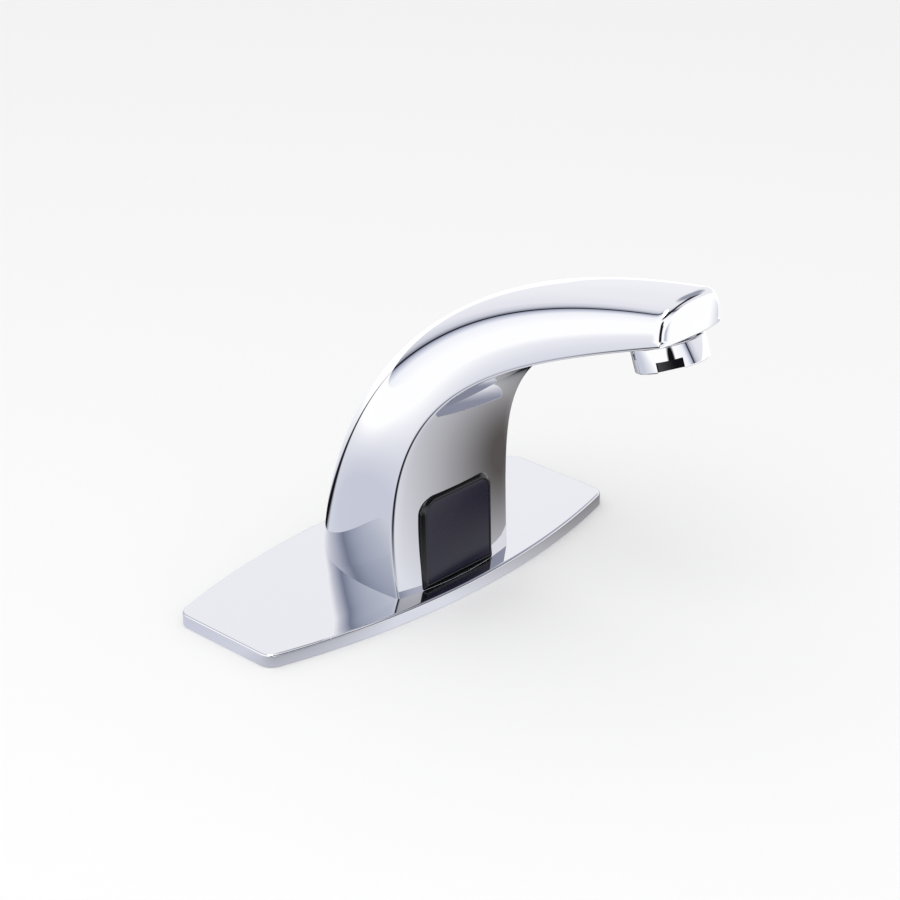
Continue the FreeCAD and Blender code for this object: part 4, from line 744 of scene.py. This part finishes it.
def make_floor(settings):
    """A pale floor that keeps the tap's shadow. Metal sees it white, with painted reflections: a
    painted grey shadow of the tap behind it, and painted dark patches that give chrome its lines."""
    material, tree = new_material("studio floor")
    paint = add_node(tree, "ShaderNodeBsdfDiffuse", inputs={
        "Color": (*settings.floor_colour, 1.0)})
    mirrored = add_node(tree, "ShaderNodeEmission", inputs={
        "Color": painted_floor_reflections(tree), "Strength": settings.mirror_light})
    glossy = add_node(tree, "ShaderNodeLightPath").outputs["Is Glossy Ray"]
    both = add_node(tree, "ShaderNodeMixShader", inputs={
        0: glossy, 1: paint.outputs["BSDF"], 2: mirrored.outputs["Emission"]})
    finish_surface(material, tree, both.outputs["Shader"])
    floor = bpy.data.objects.new("floor", bpy.data.meshes.new("floor"))
    corners = [(x * FLOOR_HALF, y * FLOOR_HALF, 0.0)
               for x, y in ((-1, -1), (1, -1), (1, 1), (-1, 1))]
    floor.data.from_pydata(corners, [], [(0, 1, 2, 3)])
    floor.data.materials.append(material)
    floor.location.z = -FLOOR_DROP
    bpy.context.scene.collection.objects.link(floor)


def painted_world_reflections(tree, bounces):
    """Painted reflections: the world's colours as metal sees them, from the direction it looks in.
    """
    view = add_node(tree, "ShaderNodeTexCoord").outputs["Generated"]
    height = fade_along(tree, view, RAMP_NORMAL, RAMP_OFFSET - RAMP_REACH,
                        RAMP_OFFSET + RAMP_REACH)
    painted_ramps = []
    for stops in (PAINTED_RAMP_SHARP, PAINTED_RAMP_BLURRED):
        ramp = add_node(tree, "ShaderNodeValToRGB", inputs={"Fac": height})
        elements = ramp.color_ramp.elements
        for place, _ in stops[1:-1]:
            elements.new(place)
        for element, (place, colour) in zip(elements, stops):
            element.position, element.color = place, shade(colour)
        painted_ramps.append(ramp.outputs["Color"])
    start, whole = SECOND_MIRROR_FADE
    second = add_node(tree, "ShaderNodeMapRange", inputs={
        "Value": bounces, "From Min": start, "From Max": whole}).outputs["Result"]
    painted_colour = add_node(tree, "ShaderNodeMix", {"data_type": "RGBA"}, {
        "Factor": second, MIX_BASE: painted_ramps[0], MIX_OVER: painted_ramps[1]}).outputs[MIX_RESULT]
    # painted reflections: a grey patch, a dark zone in front and a dark spot towards the camera
    painted_colour = laid_over(tree, painted_colour, PAINTED_GREY_COLOUR,
                      fade_along(tree, view, GREY_PATCH_DIRECTION, *GREY_PATCH_FADE))
    painted_colour = laid_over(tree, painted_colour, PAINTED_DARK_COLOUR,
                      fade_along(tree, view, BACKWARDS, *DARK_ZONE_NEAR_FADE),
                      fade_along(tree, view, UP, *DARK_ZONE_LOW_FADE),
                      fade_along(tree, view, UP, *DARK_ZONE_HIGH_FADE))
    return laid_over(tree, painted_colour, PAINTED_DARK_COLOUR,
                     fade_along(tree, view, DARK_SPOT_DIRECTION, *DARK_SPOT_FADE))


def make_world(settings):
    """Even white light. Metal sees painted reflections: a pale ramp with a dark gap, a grey patch
    overhead, a dark zone in front and a dark spot towards the camera; the camera sees the floor's
    colour."""
    world = bpy.data.worlds.new("studio")
    bpy.context.scene.world = world
    world.use_nodes = True
    tree = world.node_tree
    tree.nodes.clear()
    rays = add_node(tree, "ShaderNodeLightPath").outputs
    light = add_node(tree, "ShaderNodeBackground", inputs={
        "Color": shade("#ffffff"), "Strength": settings.world_light})
    mirrored = add_node(tree, "ShaderNodeBackground", inputs={
        "Color": painted_world_reflections(tree, rays["Glossy Depth"]), "Strength": settings.mirror_light})
    seen = add_node(tree, "ShaderNodeMixShader", inputs={
        0: rays["Is Glossy Ray"], 1: light.outputs["Background"],
        2: mirrored.outputs["Background"]})
    backdrop = add_node(tree, "ShaderNodeBackground", inputs={
        "Color": (*settings.floor_colour, 1.0), "Strength": 1.0})
    whole = add_node(tree, "ShaderNodeMixShader", inputs={
        0: rays["Is Camera Ray"], 1: seen.outputs["Shader"], 2: backdrop.outputs["Background"]})
    output = add_node(tree, "ShaderNodeOutputWorld")
    tree.links.new(whole.outputs["Shader"], output.inputs["Surface"])


def make_lamp():
    """One broad soft lamp above and to the left of the camera."""
    lamp = bpy.data.lights.new("soft box", "AREA")
    lamp.shape = "DISK"
    lamp.size = LAMP_SIZE
    lamp.energy = LAMP_WATTS
    obj = bpy.data.objects.new("soft box", lamp)
    obj.location = LAMP_PLACE
    obj.rotation_euler = (Vector(LAMP_AIM) - obj.location).to_track_quat("-Z", "Y").to_euler()
    bpy.context.scene.collection.objects.link(obj)


def make_camera():
    """The camera, turned to the photograph's viewing angle."""
    azimuth, elevation, roll = (math.radians(angle) for angle in (
        CAMERA_AZIMUTH, CAMERA_ELEVATION, CAMERA_ROLL))
    back = Vector((-math.sin(azimuth) * math.cos(elevation),
                   -math.cos(azimuth) * math.cos(elevation), math.sin(elevation)))
    right = Vector((math.cos(azimuth), -math.sin(azimuth), 0))
    up = back.cross(right)
    rolled_right = right * math.cos(roll) + up * math.sin(roll)
    rolled_up = up * math.cos(roll) - right * math.sin(roll)
    data = bpy.data.cameras.new("camera")
    data.sensor_width = CAMERA_SENSOR_MM
    data.lens = CAMERA_LENS_MM
    data.clip_start, data.clip_end = 0.01, 20.0
    camera = bpy.data.objects.new("camera", data)
    turn = Matrix((rolled_right, rolled_up, back)).transposed()
    camera.matrix_world = Matrix.Translation(CAMERA_PLACE) @ turn.to_4x4()
    bpy.context.scene.collection.objects.link(camera)
    bpy.context.scene.camera = camera


# ---------------------------------------------------------------- settings
def length(name, description, default_mm):
    """A length that a user can change, kept in metres."""
    return FloatProperty(name=name, description=description, default=default_mm * MM,
                         unit="LENGTH", precision=5)


class SensorTapSettings(bpy.types.PropertyGroup):
    """Sizes and colours of the tap and its studio."""
    nose_tip: length("Nose tip", "Y of the foremost line of the nose", -117.5)
    nose_bow: length("Nose bow", "Radius of the bowed end face", 56.0)
    nose_upper_rounding: length("Nose rounding", "Rounding round the crown of the nose", 2.2)
    nose_side_rounding: length("Nose side rounding", "Rounding between side and nose", 3.4)
    nose_lower_rounding: length("Lower nose rounding", "Rounding at the nose's lower edge", 0.9)
    corner_rounding: length("Front corner rounding", "Rounding of the long front corners", 1.2)
    spout_rings: IntProperty(name="Spout rings", description="Rings of faces along the spout",
                             default=190, min=20, max=400)
    plate_length: length("Plate length", "Length of the cover plate", 160.0)
    plate_end_width: length("Plate end width", "Width of the cover plate at its ends", 41.2)
    plate_middle_width: length("Plate middle width", "Width of the cover plate at its middle", 65.4)
    plate_corner: length("Plate corner", "Corner radius of the cover plate", 5.0)
    plate_edge: length("Plate edge", "Rounding of the cover plate's upper edge", 1.0)
    window_corner: length("Window corner", "Radius of the window frame's upper corners", 6.0)
    window_foot_corner: length("Window foot corner", "Radius of its lower corners", 0.8)
    window_bevel: length("Window bevel", "Width of the bevel round the window frame", 1.2)
    window_lip: length("Window lip", "Distance from the frame's outline to the pane", 1.7)
    window_lean: length("Window lean", "How far the window leans back at its top", 1.3)
    aerator_radius: length("Aerator radius", "Outer radius of the aerator's ring", 11.2)
    floor_colour: FloatVectorProperty(name="Floor colour", description="Colour of the studio floor",
                                      subtype="COLOR", size=3, default=shade("#f7f7f7")[:3])
    world_light: FloatProperty(name="World light", description="Strength of the even light",
                               default=0.88, min=0.0)
    mirror_light: FloatProperty(name="Mirror light", description="Strength of what metal reflects",
                                default=1.25, min=0.0)


# ---------------------------------------------------------------- operators
class TAP_OT_spout(bpy.types.Operator):
    """Builds the chromed spout as a smooth skin over the CAD form"""
    bl_idname = "tap.spout"
    bl_label = "Spout"

    def execute(self, context):
        settings = context.scene.sensor_tap
        rings = spout_rings(settings)
        faces = ring_faces(len(rings), len(rings[0]))
        skin = mesh_object("spout_skin", np.concatenate(rings) * MM, faces, "chrome")
        cut_with(skin, (aerator_socket(), window_seat(settings)), sharp_degrees=40)
        show(skin, "tap", "chrome", "spout_body")
        return {"FINISHED"}


class TAP_OT_cover_plate(bpy.types.Operator):
    """Builds the chromed cover plate with its rounded upper edge"""
    bl_idname = "tap.cover_plate"
    bl_label = "Cover plate"

    def execute(self, context):
        plate = make_cover_plate(context.scene.sensor_tap)
        show(plate, "tap", "chrome", "deck_plate")
        return {"FINISHED"}


class TAP_OT_sensor(bpy.types.Operator):
    """Builds the black window and its bevelled frame in the front face"""
    bl_idname = "tap.sensor"
    bl_label = "Sensor window"

    def execute(self, context):
        settings = context.scene.sensor_tap
        # from here on in millimetres, but for the two corners of the frame's box
        low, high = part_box("sensor_bezel")
        front, back = low.y / MM, high.y / MM
        pane_low, pane_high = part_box("sensor_window")
        pane_front, pane_back = pane_low.y / MM, pane_high.y / MM
        bevel, lip = settings.window_bevel / MM, settings.window_lip / MM
        lean = settings.window_lean / MM
        gap, frame_edge, pane_edge = 0.1, 0.15, 0.2
        surround = arched_rings("window_frame", [
            (lip, back), (0.0, back), (0.0, front + bevel), (bevel, front), (lip, front),
            (lip, pane_back)], "black_gloss", settings)
        lean_back(surround, low, high, lean)
        soften(surround, frame_edge)
        plain_mesh(surround, sharp_degrees=30)
        show(surround, "tap", "black_gloss", "sensor_bezel")
        pane = arched_rings("window_pane", [(lip + gap, pane_back), (lip + gap, pane_front)],
                            "dark_window", settings)
        lean_back(pane, low, high, lean)
        soften(pane, pane_edge)
        plain_mesh(pane, sharp_degrees=30)
        show(pane, "tap", "dark_window", "sensor_window")
        return {"FINISHED"}


class TAP_OT_aerator(bpy.types.Operator):
    """Builds the aerator: a chromed ring with two key notches round a perforated disc"""
    bl_idname = "tap.aerator"
    bl_label = "Aerator"

    def execute(self, context):
        place = aerator_frame()
        # radii, and heights along the aerator's own axis, in millimetres
        outer = context.scene.sensor_tap.aerator_radius / MM
        neck, bore, lip, edge = 8.95, 7.45, 6.25, 0.5
        top, foot, neck_top, lip_top = -0.4, -8.0, 4.6, -6.8
        profile = [(lip, lip_top), (lip, foot)]
        profile += arc(outer - edge, foot + edge, edge, -90, 0, steps=6)
        profile += arc(outer - edge, top - edge, edge, 0, 90, steps=6)
        profile += [(neck, top), (neck, neck_top), (bore, neck_top), (bore, lip_top)]
        ring = turned("aerator_ring", place, profile, "chrome", sides=192, joined=True)
        notches = [notch_cutter(place, turn, foot) for turn in (-52.0, 128.0)]
        cut_with(ring, notches, sharp_degrees=35)
        show(ring, "aerator_shell", "chrome", "aerator_housing")
        thickness, gap = 2.2, 0.1
        disc = from_nodes("stream_disc", perforated_disc_tree(), {
            "Radius": (bore - gap) * MM, "Thickness": thickness * MM, "Hole Radius": 0.8 * MM,
            "Ring Step": 2.05 * MM, "Middle Height": (lip_top + thickness / 2) * MM,
            "Place": place.translation, "Turn": place.to_euler(),
            "Material": finish_for("aerator_plastic")})
        show(disc, "aerator_core", "aerator_plastic", "stream_former")
        return {"FINISHED"}


class TAP_OT_inner_parts(bpy.types.Operator):
    """Gives every CAD piece that no other piece replaces its own finish"""
    bl_idname = "tap.inner_parts"
    bl_label = "Inner parts"

    def execute(self, context):
        slots = {entry["node"]: entry["material_slot"] for entry in frame["record"]["subparts"]}
        for name, node in frame["nodes"].items():
            if not node.hide_render:
                node.data.materials.clear()
                node.data.materials.append(finish_for(slots[name]))
        return {"FINISHED"}


class TAP_OT_studio(bpy.types.Operator):
    """Sets up the pale floor, the soft light and the camera"""
    bl_idname = "tap.studio"
    bl_label = "Studio"

    def execute(self, context):
        settings = context.scene.sensor_tap
        make_floor(settings)
        make_world(settings)
        make_lamp()
        make_camera()
        context.scene.view_settings.view_transform = "Standard"
        return {"FINISHED"}


# ---------------------------------------------------------------- panel and registration
STEPS = (TAP_OT_spout, TAP_OT_cover_plate, TAP_OT_sensor, TAP_OT_aerator, TAP_OT_inner_parts,
         TAP_OT_studio)


class TAP_PT_panel(bpy.types.Panel):
    """Lists the steps that build the tap"""
    bl_idname = "TAP_PT_panel"
    bl_label = "Sensor Tap"
    bl_space_type = "VIEW_3D"
    bl_region_type = "UI"
    bl_category = "Sensor Tap"

    def draw(self, context):
        settings = context.scene.sensor_tap
        for step in STEPS:
            self.layout.operator(step.bl_idname)
        for name in settings.bl_rna.properties.keys():
            if name not in ("rna_type", "name"):
                self.layout.prop(settings, name)


CLASSES = (SensorTapSettings, *STEPS, TAP_PT_panel)


def register():
    for cls in CLASSES:
        bpy.utils.register_class(cls)
    bpy.types.Scene.sensor_tap = PointerProperty(type=SensorTapSettings)


def unregister():
    del bpy.types.Scene.sensor_tap
    for cls in reversed(CLASSES):
        bpy.utils.unregister_class(cls)


def main():
    """Builds every piece."""
    register()
    for step in STEPS:
        group, name = step.bl_idname.split(".")
        getattr(getattr(bpy.ops, group), name)()


if __name__ == "__main__":
    main()
